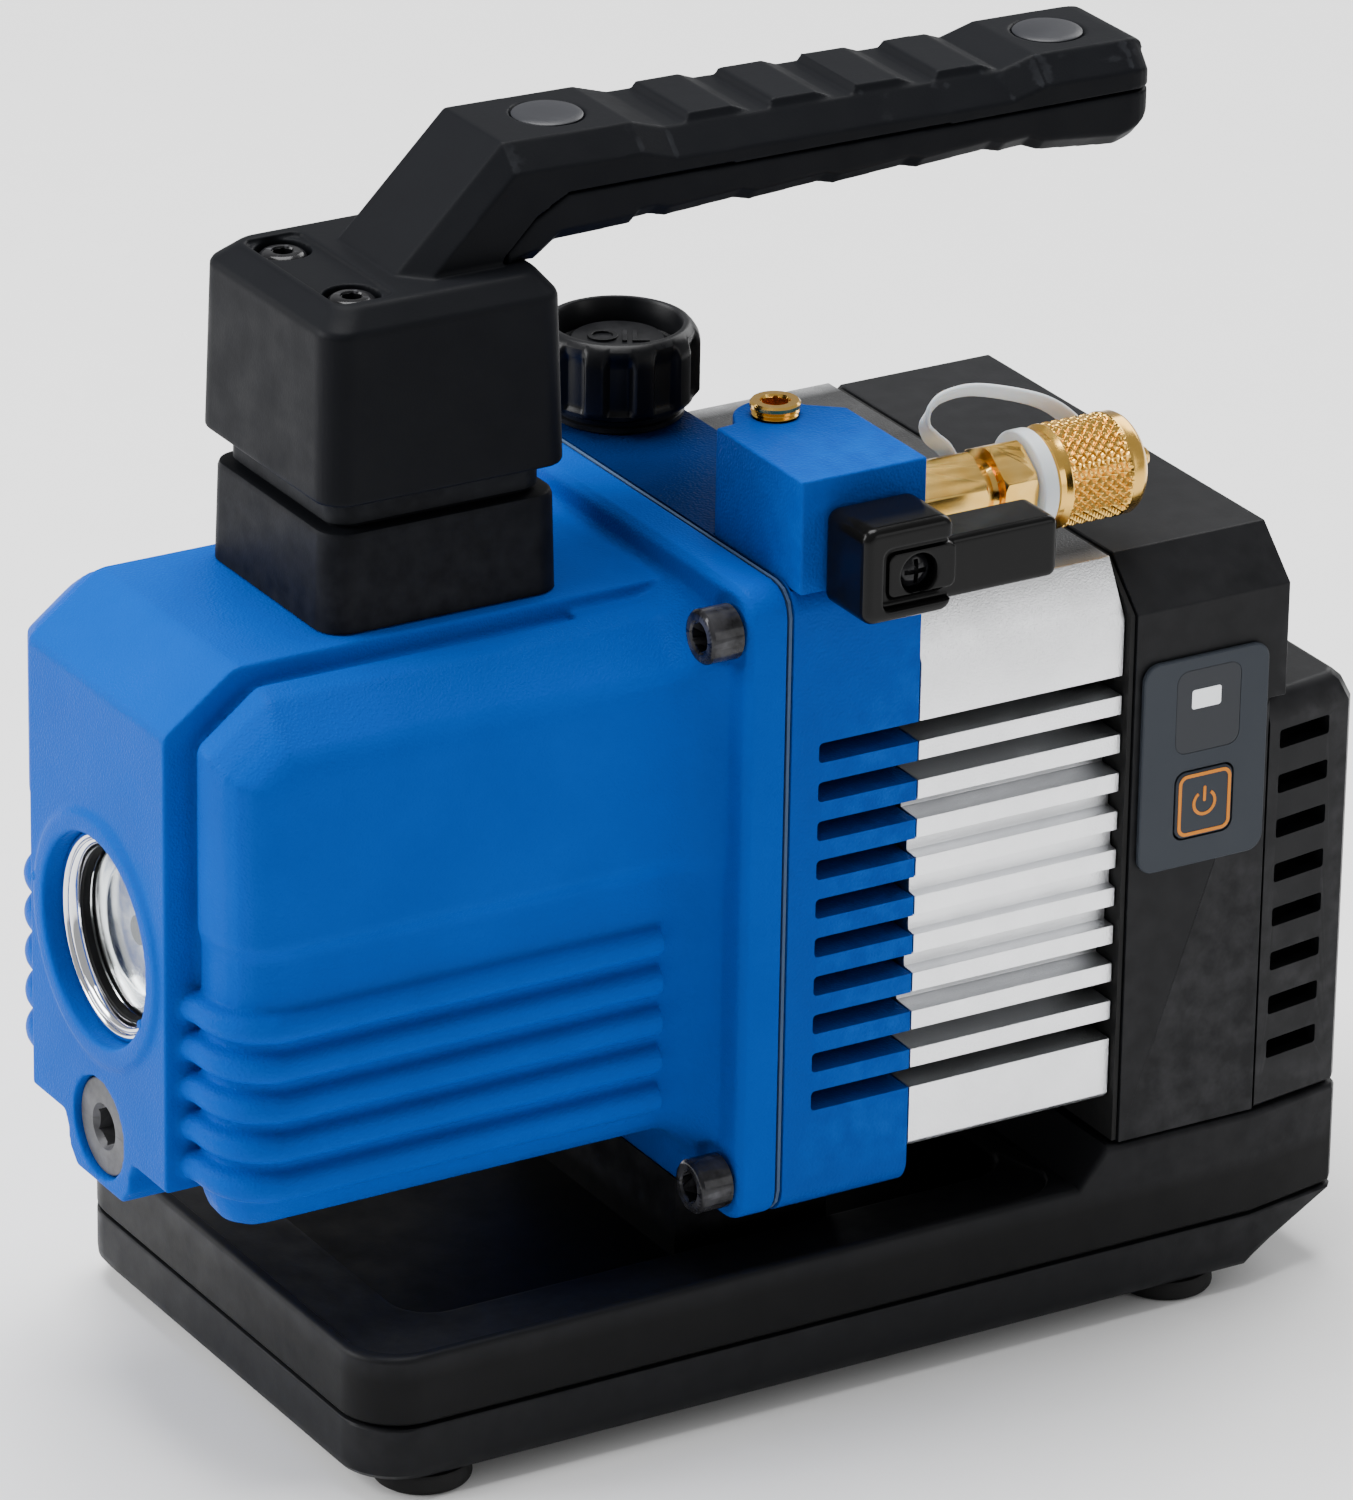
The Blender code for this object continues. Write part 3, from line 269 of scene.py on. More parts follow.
LOOKS = {
    "blue": surface("blue_powder_coat", (0.0, 0.066, 0.38), 0.36, vary=0.06, rough_vary=0.06,
                    grain=(1.1, 0.3, 0.10), stipple=(0.42, 0.7, 0.14),
                    edge=((0.0, 0.10, 0.5), 0.5), shine=0.015),
    # the block's colour darkens towards the floor of its slots: painted shade
    "block": surface("blue_block_coat", (0.0, 0.056, 0.33), 0.38, vary=0.06, rough_vary=0.06,
                     grain=(1.3, 0.35, 0.14), stipple=(0.5, 0.7, 0.16),
                     edge=((0.0, 0.10, 0.5), 0.5), shine=0.03, fade=("X", 45.0, 53.0, 0.25)),
    "inlet": surface("blue_inlet_coat", (0.0, 0.060, 0.35), 0.38, vary=0.06, rough_vary=0.06,
                     grain=(1.3, 0.35, 0.14), stipple=(0.5, 0.7, 0.16),
                     edge=((0.0, 0.10, 0.5), 0.5), shine=0.03),
    # the base darkens below the rim of its pocket under the tank: painted shadow
    "base": surface("moulded_base", (0.0055, 0.0058, 0.0068), 0.48, vary=0.06, rough_vary=0.07,
                    grain=(0.5, 0.16, 0.06), stipple=(0.33, 0.14, 0.04),
                    edge=((0.03, 0.03, 0.033), 0.6), shine=0.12, fade=("Z", 24.0, 27.0, 0.25)),
    "shell": surface("moulded_shell", (0.0055, 0.0058, 0.0068), 0.48, vary=0.06, rough_vary=0.07,
                     grain=(0.5, 0.16, 0.06), stipple=(0.33, 0.14, 0.04),
                     edge=((0.03, 0.03, 0.033), 0.6), shine=0.12),
    "housing": surface("moulded_housing", (0.0055, 0.0058, 0.0068), 0.46, vary=0.06, rough_vary=0.07,
                       grain=(0.5, 0.15, 0.06), stipple=(0.33, 0.12, 0.04),
                       edge=((0.03, 0.03, 0.033), 0.6), shine=0.14),
    "handle": surface("moulded_handle", (0.0050, 0.0055, 0.0070), 0.50, vary=0.06, rough_vary=0.07,
                      grain=(0.55, 0.2, 0.07), stipple=(0.36, 0.2, 0.05),
                      edge=((0.03, 0.032, 0.037), 0.4), shine=0.06),
    "grip_disc": surface("grip_disc", (0.013, 0.014, 0.018), 0.40, vary=0.08,
                         grain=(0.5, 0.12, 0.05), shine=0.3),
    "lever": surface("lever_gloss", (0.003, 0.003, 0.003), 0.20, vary=0.15, rough_vary=0.06,
                     grain=(1.6, 0.10, 0.06), shine=0.15),
    "cap": surface("filler_cap_moulding", (0.004, 0.0042, 0.005), 0.34, vary=0.15, rough_vary=0.08,
                   grain=(0.6, 0.14, 0.06), edge=((0.03, 0.03, 0.033), 0.6), shine=0.15),
    "rubber": surface("rubber", (0.004, 0.004, 0.004), 0.72, vary=0.2, grain=(0.4, 0.3, 0.08), shine=0.3),
    # the aluminium darkens towards the floor of its fin grooves: painted shade
    "silver": surface("anodised_aluminium", (0.92, 0.93, 0.95), 0.36, 1.0, 0.05, 0.07,
                      grain=(0.34, 0.9, 0.10), stipple=(0.5, 0.4, 0.06),
                      edge=((0.97, 0.97, 0.98), 0.5), fade=("X", 43.0, 52.0, 0.10)),
    "steel": surface("ground_steel", (0.50, 0.50, 0.52), 0.30, 1.0, 0.08, 0.08,
                     streak=(420.0, (1, 0.04, 1), 0.25), edge=((0.7, 0.7, 0.72), 0.6)),
    "chrome": surface("chrome", (0.80, 0.80, 0.82), 0.09, 1.0, 0.03, 0.03, grain=(3.0, 0.05, 0.05)),
    "mirror": surface("reflector", (0.82, 0.84, 0.84), 0.16, 1.0, 0.06, 0.06,
                      streak=(300.0, (1, 0.2, 1), 0.15)),
    "dot": surface("reflector_mark", (0.10, 0.11, 0.12), 0.4, 0.4, grain=(0.5, 0.1, 0.05)),
    "brass": surface("polished_brass", (0.80, 0.47, 0.10), 0.20, 1.0, 0.07, 0.06,
                     streak=(500.0, (1, 0.06, 1), 0.10), edge=((0.95, 0.66, 0.24), 0.5)),
    "oxide": surface("black_oxide", (0.007, 0.007, 0.008), 0.18, 0.2, 0.15, 0.05,
                     grain=(0.7, 0.12, 0.05), edge=((0.10, 0.10, 0.11), 0.7)),
    "graphite": surface("graphite_plug", (0.050, 0.050, 0.053), 0.42, 0.3, 0.12, 0.08,
                        streak=(600.0, (1, 1, 1), 0.2), edge=((0.09, 0.09, 0.10), 0.7)),
    "carbon": surface("vane_carbon", (0.012, 0.012, 0.014), 0.5, 0.1, 0.1, grain=(0.3, 0.2, 0.05)),
    "film": surface("label_film", (0.032, 0.038, 0.048), 0.42, vary=0.04,
                    grain=(0.35, 0.10, 0.03), shine=0.15),
    "window": surface("label_window", (0.020, 0.023, 0.029), 0.34, vary=0.04, rough_vary=0.02,
                      grain=(0.35, 0.05, 0.02)),
    "orange": surface("orange_print", (0.66, 0.21, 0.006), 0.42, vary=0.05, grain=(0.4, 0.1, 0.03)),
    "paper": surface("gasket_fibre", (0.05, 0.09, 0.17), 0.8, vary=0.12, grain=(0.3, 0.3, 0.06)),
    "board": surface("lacquered_board", (0.006, 0.05, 0.02), 0.3, vary=0.1, grain=(0.8, 0.1, 0.04)),
    "copper": surface("copper_wire", (0.72, 0.32, 0.16), 0.28, 1.0, 0.1, 0.08,
                      streak=(900.0, (1, 0.2, 1), 0.5)),
    "felt": surface("filter_felt", (0.55, 0.54, 0.48), 0.9, vary=0.1, grain=(0.6, 0.7, 0.3)),
    "glass": clear_glass(),
    "strap": milky_strap(),
    "led": lit_window(),
}


# ------------------------------------------------------------------ modelling tools


def as_object(name, bm):
    bmesh.ops.remove_doubles(bm, verts=bm.verts, dist=1e-5)
    bmesh.ops.recalc_face_normals(bm, faces=bm.faces)
    mesh = bpy.data.meshes.new(name)
    bm.to_mesh(mesh)
    bm.free()
    obj = bpy.data.objects.new(name, mesh)
    bpy.context.scene.collection.objects.link(obj)
    return obj


def spot(axis, a, b, height):
    """A point at a height along the axis; a and b are the other two coordinates in X, Y, Z order."""
    if axis == "X":
        return Vector((height, a, b))
    if axis == "Y":
        return Vector((a, height, b))
    return Vector((a, b, height))


def skin(name, rings):
    """Bridges closed rings of points and caps the first and the last."""
    bm = bmesh.new()
    loops = [[bm.verts.new(point) for point in ring] for ring in rings]
    for low, high in zip(loops, loops[1:]):
        for i in range(len(low)):
            j = (i + 1) % len(low)
            bm.faces.new((low[i], low[j], high[j], high[i]))
    bm.faces.new(loops[0])
    bm.faces.new(loops[-1])
    return as_object(name, bm)


def loft(name, rings, axis="Z"):
    return skin(name, [[spot(axis, a, b, h) for a, b in outline] for h, outline in rings])


def prism(name, outline, axis, low, high):
    return loft(name, [(low, outline), (high, outline)], axis)


def box(name, x, y, z):
    return prism(name, [(x[0], y[0]), (x[1], y[0]), (x[1], y[1]), (x[0], y[1])], "Z", z[0], z[1])


def rounded(x0, x1, y0, y1, radius, steps=6):
    points = []
    for cx, cy, first in (
        (x1 - radius, y0 + radius, -90),
        (x1 - radius, y1 - radius, 0),
        (x0 + radius, y1 - radius, 90),
        (x0 + radius, y0 + radius, 180),
    ):
        for i in range(steps + 1):
            angle = math.radians(first + 90 * i / steps)
            points.append((cx + radius * math.cos(angle), cy + radius * math.sin(angle)))
    return points


def polygon(radius, sides, centre=(0, 0), phase=0.0):
    points = []
    for i in range(sides):
        angle = math.radians(phase) + math.tau * i / sides
        points.append((centre[0] + radius * math.cos(angle), centre[1] + radius * math.sin(angle)))
    return points


def turned(name, profile, axis, centre, steps=64, shape=None):
    """Spins a (radius, height) profile that starts and ends on the axis, or closes on itself.

    shape(angle, radius, height) may change the radius, for flutes and knurls.
    """
    closed = profile[0][0] > 0
    line = profile + [profile[0]] if closed else profile
    bm = bmesh.new()
    columns = []
    for i in range(steps):
        angle = math.tau * i / steps
        column = []
        for radius, height in line:
            r = shape(angle, radius, height) if shape and radius > 0 else radius
            a, b = r * math.cos(angle), r * math.sin(angle)
            column.append(bm.verts.new(spot(axis, a, b, height) + Vector(centre)))
        columns.append(column)
    for i in range(steps):
        here, there = columns[i], columns[(i + 1) % steps]
        for k in range(len(line) - 1):
            bm.faces.new((here[k], there[k], there[k + 1], here[k + 1]))
    bmesh.ops.remove_doubles(bm, verts=bm.verts, dist=1e-5)
    bmesh.ops.dissolve_degenerate(bm, edges=bm.edges, dist=1e-5)
    return as_object(name, bm)


def rod(radius, low, high):
    """The profile of a plain cylinder."""
    return [(0, low), (radius, low), (radius, high), (0, high)]


def arc(centre, radius, first, last, steps):
    """Points of a (radius, height) arc, angles in degrees from the radius direction."""
    points = []
    for i in range(steps + 1):
        angle = math.radians(first + (last - first) * i / steps)
        points.append((centre[0] + radius * math.cos(angle), centre[1] + radius * math.sin(angle)))
    return points


def settle(obj):
    """Applies the modifiers."""
    depsgraph = bpy.context.evaluated_depsgraph_get()
    mesh = bpy.data.meshes.new_from_object(obj.evaluated_get(depsgraph))
    old = obj.data
    obj.modifiers.clear()
    obj.data = mesh
    bpy.data.meshes.remove(old)
    return obj


def combine(obj, operation, others):
    """Runs one boolean after another on a piece and removes the tools."""
    for other in others:
        modifier = obj.modifiers.new("combine", "BOOLEAN")
        modifier.object = other
        modifier.operation = operation
        modifier.solver = "EXACT"
    settle(obj)
    for other in others:
        bpy.data.objects.remove(other)
    return obj


def cut(obj, *others):
    return combine(obj, "DIFFERENCE", others)


def join(obj, *others):
    return combine(obj, "UNION", others)


def common(obj, *others):
    return combine(obj, "INTERSECT", others)


def round_edges(obj, width, segments=3, angle=30):
    modifier = obj.modifiers.new("round", "BEVEL")
    modifier.width = width
    modifier.segments = segments
    modifier.limit_method = "ANGLE"
    modifier.angle_limit = math.radians(angle)
    modifier.miter_outer = "MITER_ARC"
    return settle(obj)


def soften(obj, voxel, rounds, keep=0.4):
    """Casts the piece as one skin with small fillets in its corners."""
    remesh = obj.modifiers.new("remesh", "REMESH")
    remesh.mode = "VOXEL"
    remesh.voxel_size = voxel
    smooth = obj.modifiers.new("smooth", "SMOOTH")
    smooth.factor = 0.5
    smooth.iterations = rounds
    thin = obj.modifiers.new("thin", "DECIMATE")
    thin.ratio = keep
    return settle(obj)


def place(obj, body, look, slot, *nodes, sharp=40, weighted=True):
    """Moves a finished piece into the row frame and hands it to its body."""
    obj.data.transform(TO_ROW)
    obj.data.shade_smooth()
    obj.data.set_sharp_from_angle(angle=math.radians(sharp))
    if weighted:
        modifier = obj.modifiers.new("normals", "WEIGHTED_NORMAL")
        modifier.keep_sharp = True
        modifier.weight = 80
        settle(obj)
    obj.data.materials.clear()
    obj.data.materials.append(LOOKS[look])
    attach(obj, body)
    if nodes:
        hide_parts(*nodes)
    return obj


def finish_node(look, *nodes):
    """Gives carried-over CAD nodes their material."""
    for node in nodes:
        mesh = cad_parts[node].data
        mesh.materials.clear()
        mesh.materials.append(LOOKS[look])


def hex_socket(name, axis, centre, across, low, high):
    """A cutter for a hexagon socket, across its flats."""
    a, b = {"X": (1, 2), "Y": (0, 2), "Z": (0, 1)}[axis]
    outline = polygon(across / math.sqrt(3), 6, (centre[a], centre[b]), 30)
    return prism(name, outline, axis, low, high)


# ------------------------------------------------------------------ base

BASE_HALF_W = 56.0
BASE_REAR_HALF_W = 52.4
BASE_FRONT = 24.0
BASE_KINK = 208.6
BASE_REAR = 230.0
SPLIT_Z = 15.2
TRAY_TOP = 28.8
TRAY_RAISE = 7.0
RAMP_Y = (171.0, 177.0)


def base_outline(inset, rear_inset=None):
    w = BASE_HALF_W - inset
    rw = BASE_REAR_HALF_W - inset
    front = BASE_FRONT + inset
    rear = BASE_REAR - (inset if rear_inset is None else rear_inset)
    r = 11.0
    steps = 10
    right = []
    for i in range(steps + 1):
        angle = math.radians(-90 + 90 * i / steps)
        right.append((w - r + r * math.cos(angle), front + r + r * math.sin(angle)))
    right += [(w, y) for y in RAMP_Y]
    right += [(w, min(BASE_KINK, rear - 4.0)), (rw, rear - 1.6), (rw - 1.8, rear)]
    return right + [(-x, y) for x, y in reversed(right)]


def make_base():
    rings = [
        (7.0, base_outline(3.6, 18.0)),
        (4.1, base_outline(2.4, 17.4)),
        (4.4, base_outline(1.0, 16.4)),
        (5.6, base_outline(0.1, 14.4)),
        (7.0, base_outline(0.0, 12.2)),
        (SPLIT_Z - 0.9, base_outline(0.0)),
        (SPLIT_Z - 0.5, base_outline(0.25)),
        (SPLIT_Z - 0.3, base_outline(0.8)),
        (SPLIT_Z - 0.3, base_outline(3.0)),
    ]
    place(loft("lower_shell", rings), "housing", "shell", "base_plastic", "base_bottom", sharp=35)

    loops = []
    for inset, rise in ((3.0, 0.1), (1.0, 0.1), (0.35, 0.25), (0.0, 0.8)):
        loops.append([Vector((x, y, SPLIT_Z + rise)) for x, y in base_outline(inset)])
    for inset, drop in ((0.0, 1.3), (0.15, 0.75), (0.5, 0.3), (1.1, 0.05), (1.8, 0.0)):
        loop = []
        for x, y in base_outline(inset):
            raised = 0.0 if y <= RAMP_Y[0] + 0.01 else TRAY_RAISE
            loop.append(Vector((x, y, TRAY_TOP + raised - drop)))
        loops.append(loop)
    bm = bmesh.new()
    verts = [[bm.verts.new(p) for p in loop] for loop in loops]
    count = len(loops[0])
    for low, high in zip(verts, verts[1:]):
        for i in range(count):
            j = (i + 1) % count
            bm.faces.new((low[i], low[j], high[j], high[i]))
    bm.faces.new(verts[0])
    top = verts[-1]
    half = count // 2
    front = [v for v in top if v.co.y < RAMP_Y[0] + 0.1]
    rear = [v for v in top if v.co.y > RAMP_Y[1] - 0.1]
    ramp = [front[half - len(rear) // 2 - 1], rear[0], rear[-1], front[half - len(rear) // 2]]
    bm.faces.new(front)
    bm.faces.new(ramp)
    bm.faces.new(rear)
    tray = as_object("tray", bm)
    dish = loft("dish", [
        (20.5, rounded(-36.4, 36.4, 43.4, 167.6, 7.0)),
        (25.0, rounded(-37.0, 37.0, 42.8, 168.2, 7.6)),
        (25.8, rounded(-37.6, 37.6, 42.2, 168.6, 8.2)),
        (26.2, rounded(-38.8, 38.8, 41.0, 169.0, 9.0)),
        (28.2, rounded(-53.4, 53.4, 26.6, 169.6, 9.4)),
        (28.9, rounded(-54.2, 54.2, 25.8, 169.8, 9.8)),
        (40.0, rounded(-54.3, 54.3, 25.7, 169.9, 9.8)),
    ])
    cut(tray, dish)
    join(tray, box("saddle", (-30, 30), (101, 133), (18.5, 36.4)))
    place(tray, "housing", "base", "base_plastic", "base_tray", sharp=32)

    for side, x in (("l", -46.5), ("r", 46.5)):
        for end, y in (("front", 39.7), ("rear", 196.5)):
            profile = [(0, 0.6), (3.0, 0.6), (3.4, 0.0)] + arc((7.8, 1.2), 1.2, -90, 0, 4)
            profile += [(8.8, 3.0), (8.4, 3.7), (0, 3.7)]
            foot = turned("foot_pad_%s_%s" % (end, side), profile, "Z", (x, y, 0), 48)
            place(foot, "housing", "rubber", "foot_rubber", "foot_%s_%s" % (end, side))


# ------------------------------------------------------------------ oil tank

RIM_HALF_W = 25.6
RIM_TOP = 152.5
FLANGE_FRONT = 99.6
FLANGE_BACK = 107.8
FLANGE_HALF_W = 53.5
FLANGE_Z = (36.8, 158.5)
TANK_MID_Z = 99.0
RIB_Z = (60.6, 68.1, 75.7, 83.4, 91.0)
CREASE_Z = 105.0
CREASE_HALF = 2.2
SET_BACK = 1.7

# The bulge beside the rim, from the trench outwards: half width, front Y, top Z, bottom Z.
LAYERS = (
    (24.0, 7.6, 147.4, 54.6),
    (26.9, 7.4, 147.6, 53.6),
    (27.5, 5.6, 149.0, 52.0),
    (28.5, 4.7, 149.7, 51.0),
    (33.0, 4.9, 148.5, 50.4),
    (36.6, 5.6, 145.8, 50.8),
    (39.4, 7.0, 143.6, 52.0),
    (41.3, 9.0, 142.0, 54.0),
    (42.5, 11.4, 140.2, 56.4),
    (43.0, 14.0, 137.6, 59.4),
)
CHAMFER = Vector((-0.611, 0.792))
CHAMFER_REACH = 112.2


def smooth_step(value):
    t = min(max(value, 0.0), 1.0)
    return t * t * (3 - 2 * t)


def bulge_outline(front, top, bottom, back):
    """The side view of one layer, with the same sloped corner as the rim."""
    reach = CHAMFER_REACH - (front + RIM_TOP - top) / 2
    corner_z = (reach - CHAMFER.x * front) / CHAMFER.y
    corner_y = (CHAMFER.y * top - reach) / -CHAMFER.x
    low = [(back, bottom), (front + 5.0, bottom), (front + 1.4, bottom + 1.4), (front, bottom + 5.0)]
    return low + [(front, corner_z), (corner_y, top), (back, top)]


def below_crease(z):
    """How far the side has stepped back at a height: 0 above the crease, 1 under it."""
    return smooth_step((CREASE_Z + CREASE_HALF - z) / (2 * CREASE_HALF))


def set_back(obj):
    """Sets the tank's lower part back from the upper panel, with a soft step between."""
    for vertex in obj.data.vertices:
        x, y, z = vertex.co
        share = below_crease(z)
        vertex.co.x -= SET_BACK * share * smooth_step((x - 28.0) / 12.0)
        vertex.co.y += 1.2 * share * smooth_step((24.0 - y) / 12.0) * smooth_step((x - 26.5) / 3.0)
    return obj


def make_bulge():
    """The +X half of the tank's body."""
    rings = [(x, bulge_outline(front, top, bottom, 93.0)) for x, front, top, bottom in LAYERS]
    bulge = loft("bulge", rings, "X")
    remesh = bulge.modifiers.new("remesh", "REMESH")
    remesh.mode = "VOXEL"
    remesh.voxel_size = 1.0
    settle(bulge)
    return set_back(bulge)


def tank_section():
    """Cross-section of the tank's body near the flange, on the +X side from bottom to top."""
    right = [(0.0, 50.4)]
    right += [(x, bottom) for x, _, _, bottom in LAYERS[4:]]
    right += [(LAYERS[-1][0] - SET_BACK * below_crease(z), z) for z in range(61, 137, 3)]
    right[1:7] = [(x - SET_BACK * smooth_step((x - 28.0) / 12.0), z) for x, z in right[1:7]]
    right += [(x, top) for x, _, top, _ in reversed(LAYERS[3:])]
    return right + [(0.0, 149.8)]


def whole(right):
    """Closes a +X half section with its mirror image."""
    return right + [(-x, z) for x, z in reversed(right[1:-1])]


def towards(outline, weight):
    """Moves each point of a section outward along its ray from the centre to the flange's edge."""
    half = FLANGE_HALF_W - 0.8
    points = []
    for x, z in outline:
        dx, dz = x, z - TANK_MID_Z
        length = math.hypot(dx, dz)
        dx, dz = dx / length, dz / length
        tall = FLANGE_Z[1] - 0.8 - TANK_MID_Z if dz > 0 else TANK_MID_Z - FLANGE_Z[0] - 0.8
        reach = min(half / max(abs(dx), 1e-6), tall / max(abs(dz), 1e-6))
        r = length + (max(reach, length) - length) * weight
        points.append((dx * r, TANK_MID_Z + dz * r))
    return points


def rib(name, z):
    """A round bead that runs from the rim, round the front corner and back to the flange."""
    path = [(24.4, 5.4), (26.6, 5.4)]
    for x, front, _, _ in LAYERS[3:]:
        across = x - SET_BACK * smooth_step((x - 28.0) / 12.0)
        path.append((across, front + 1.2 * smooth_step((24.0 - front) / 12.0)))
    base = path[-1][0]
    path.append((base, 30.0))
    path = [(p.x, p.y) for p in smooth_path([(x, y, 0.0) for x, y in path], 3)]
    path += [(base, 60.0), (base, 89.6)]
    rings = []
    for i, (x, y) in enumerate(path):
        before = path[max(i - 1, 0)]
        after = path[min(i + 1, len(path) - 1)]
        along = Vector((after[0] - before[0], after[1] - before[1], 0)).normalized()
        out = Vector((along.y, -along.x, 0))
        ring = []
        for k in range(16):
            angle = math.tau * k / 16
            high = Vector((0, 0, 2.95 * math.sin(angle)))
            ring.append(Vector((x, y, z)) + out * (0.1 + 2.8 * math.cos(angle)) + high)
        rings.append(ring)
    return skin(name, rings)


def mirror_copy(obj):
    mesh = obj.data.copy()
    mesh.transform(Matrix.Scale(-1, 4, (1, 0, 0)))
    mesh.flip_normals()
    twin = bpy.data.objects.new(obj.name + "_twin", mesh)
    bpy.context.scene.collection.objects.link(twin)
    return twin


def gather(obj, *others):
    """Puts several closed shells into one mesh, to be cast as one skin."""
    bm = bmesh.new()
    bm.from_mesh(obj.data)
    for other in others:
        bm.from_mesh(other.data)
        bpy.data.objects.remove(other)
    bm.to_mesh(obj.data)
    bm.free()
    return obj


def make_tank():
    side = [(0.0, 55.4), (0.0, 141.4), (0.6, 142.6), (13.0, 151.9), (14.6, RIM_TOP), (100.6, RIM_TOP)]
    side += [(100.6, 120.0), (30.0, 120.0), (30.0, 55.4)]
    rim = prism("oil_tank_casting", side, "X", -RIM_HALF_W, RIM_HALF_W)
    skirt = [(-25.6, 62.0), (-25.6, 55.6), (-13.4, 55.6), (-11.9, 53.0), (-11.4, 49.4), (-8.6, 46.4)]
    skirt += [(8.6, 46.4), (11.4, 49.4), (11.9, 53.0), (13.4, 55.6), (25.6, 55.6), (25.6, 62.0)]
    boss = prism("boss", skirt, "Y", 0.0, 14.0)
    join(rim, boss)
    round_edges(rim, 0.9, 2)
    collar = [(0, -0.85), (22.7, -0.85), (23.3, -0.5), (23.8, 0.6), (23.8, 6.0), (0, 6.0)]
    join(rim, turned("collar", collar, "Y", (0, 0, GLASS_Z), 96))
    sight = [(0, -3.0), (19.8, -3.0), (19.3, 0.2), (19.3, 12.0), (15.4, 12.2), (15.4, 26.0), (0, 26.0)]
    seat = [(0, -4.0), (9.9, -4.0), (9.4, 0.5), (9.4, 4.6), (5.2, 4.6), (5.2, 14.0), (0, 14.0)]
    cut(rim,
        turned("glass_hole", sight, "Y", (0, 0, GLASS_Z), 96),
        turned("drain_seat", seat, "Y", (0, 0, DRAIN_Z), 64))

    section = whole(tank_section())
    rings = [(80.0, section), (91.6, section)]
    for i in range(1, 9):
        t = i / 8
        rings.append((91.6 + 9.2 * t, towards(section, 1 - math.sqrt(1 - t * t * 0.98))))
    flare = loft("flare", rings, "Y")
    flange = loft("flange", [
        (FLANGE_FRONT, rounded(-52.3, 52.3, FLANGE_Z[0] + 1.2, FLANGE_Z[1] - 1.2, 4.6)),
        (FLANGE_FRONT + 1.4, rounded(-53.5, 53.5, *FLANGE_Z, 5.5)),
        (FLANGE_BACK, rounded(-53.5, 53.5, *FLANGE_Z, 5.5)),
    ], "Y")
    join(flare, flange)
    holes = []
    for x in (-BOLT_X, BOLT_X):
        for z in BOLTS.values():
            seat = FLANGE_FRONT + 0.3
            scallop = [(0, 70.0), (7.4, 70.0), (7.4, 98.6), (6.4, seat), (0, seat)]
            holes.append(turned("scallop", scallop, "Y", (x, 0, z), 32))
            shank = rod(3.2, 98.0, 120.0)
            holes.append(turned("shank_hole", shank, "Y", (x, 0, z), 24))
    cut(flare, *holes)

    bulge = make_bulge()
    beads = []
    for i, z in enumerate(RIB_Z):
        bead = rib("rib_%d" % i, z)
        beads += [bead, mirror_copy(bead)]
    tank = gather(rim, flare, bulge, mirror_copy(bulge), *beads)
    soften(tank, 0.5, 4, 0.3)
    place(tank, "housing", "blue", "tank_blue", "oil_tank", sharp=60, weighted=False)


def make_sight_glass():
    at = (0, 0, GLASS_Z)
    bezel = [(16.0, 5.0), (16.2, 4.0), (16.6, 3.4), (17.2, 3.2), (17.5, 3.35), (17.6, 3.0), (17.9, 2.7)]
    bezel += [(18.5, 2.6), (18.95, 2.9), (19.1, 3.4), (19.1, 5.0)]
    place(turned("sight_ring", bezel, "Y", at, 96), "housing", "chrome", "chrome", "sight_bezel", sharp=60)
    lens = [(0, 5.9), (6, 5.95), (11, 6.05), (14.6, 6.3), (15.4, 6.7), (15.6, 8.3), (0, 8.3)]
    place(turned("sight_window", lens, "Y", at, 96), "housing", "glass", "glass", "sight_lens")
    seal = [(15.8, 5.4), (16.2, 5.1), (18.8, 5.1), (18.8, 9.6), (15.8, 9.6)]
    place(turned("sight_o_ring", seal, "Y", at, 96), "housing", "rubber", "seal_rubber", "sight_seal")
    cup = [(0, 9.5), (11.8, 9.5), (12.4, 9.3), (14.6, 8.7), (15.2, 8.7), (15.2, 11.0), (0, 11.0)]
    reflector = turned("reflector_cup", cup, "Y", at, 96)
    place(reflector, "housing", "mirror", "reflector_aluminium", "sight_reflector")
    mark = [(0, 9.0), (2.4, 9.0), (2.7, 9.2), (2.7, 9.7), (0, 9.7)]
    place(turned("reflector_mark", mark, "Y", at, 40), "housing", "dot", "reflector_aluminium")
    for i, (angle, radius) in enumerate(((172, 23.2), (-28, 19.6))):
        a = math.radians(angle)
        place_at = (radius * math.cos(a), 0, GLASS_Z + radius * math.sin(a))
        profile = [(0, -0.9), (0.6, -0.9), (0.9, -0.6), (0.9, 1.5), (0, 1.5)]
        place(turned("index_nub_%d" % i, profile, "Y", place_at, 24), "housing", "blue", "tank_blue")


def make_drain():
    at = (0, 0, DRAIN_Z)
    profile = [(0, 1.1), (8.5, 1.1), (8.9, 1.25), (9.1, 1.6), (9.1, 4.0), (4.9, 4.0), (4.9, 12.0), (0, 12.0)]
    plug = turned("drain_screw", profile, "Y", at, 96)
    socket = hex_socket("socket", "Y", at, 6.6, -1.0, 5.4)
    mouth = turned("mouth", [(0, 0.2), (5.1, 0.2), (3.5, 2.1), (0, 2.6)], "Y", at, 48)
    cut(plug, socket, mouth)
    place(plug, "drain_plug_body", "graphite", "graphite", "drain_plug", sharp=30)
    finish_node("rubber", "drain_seal")


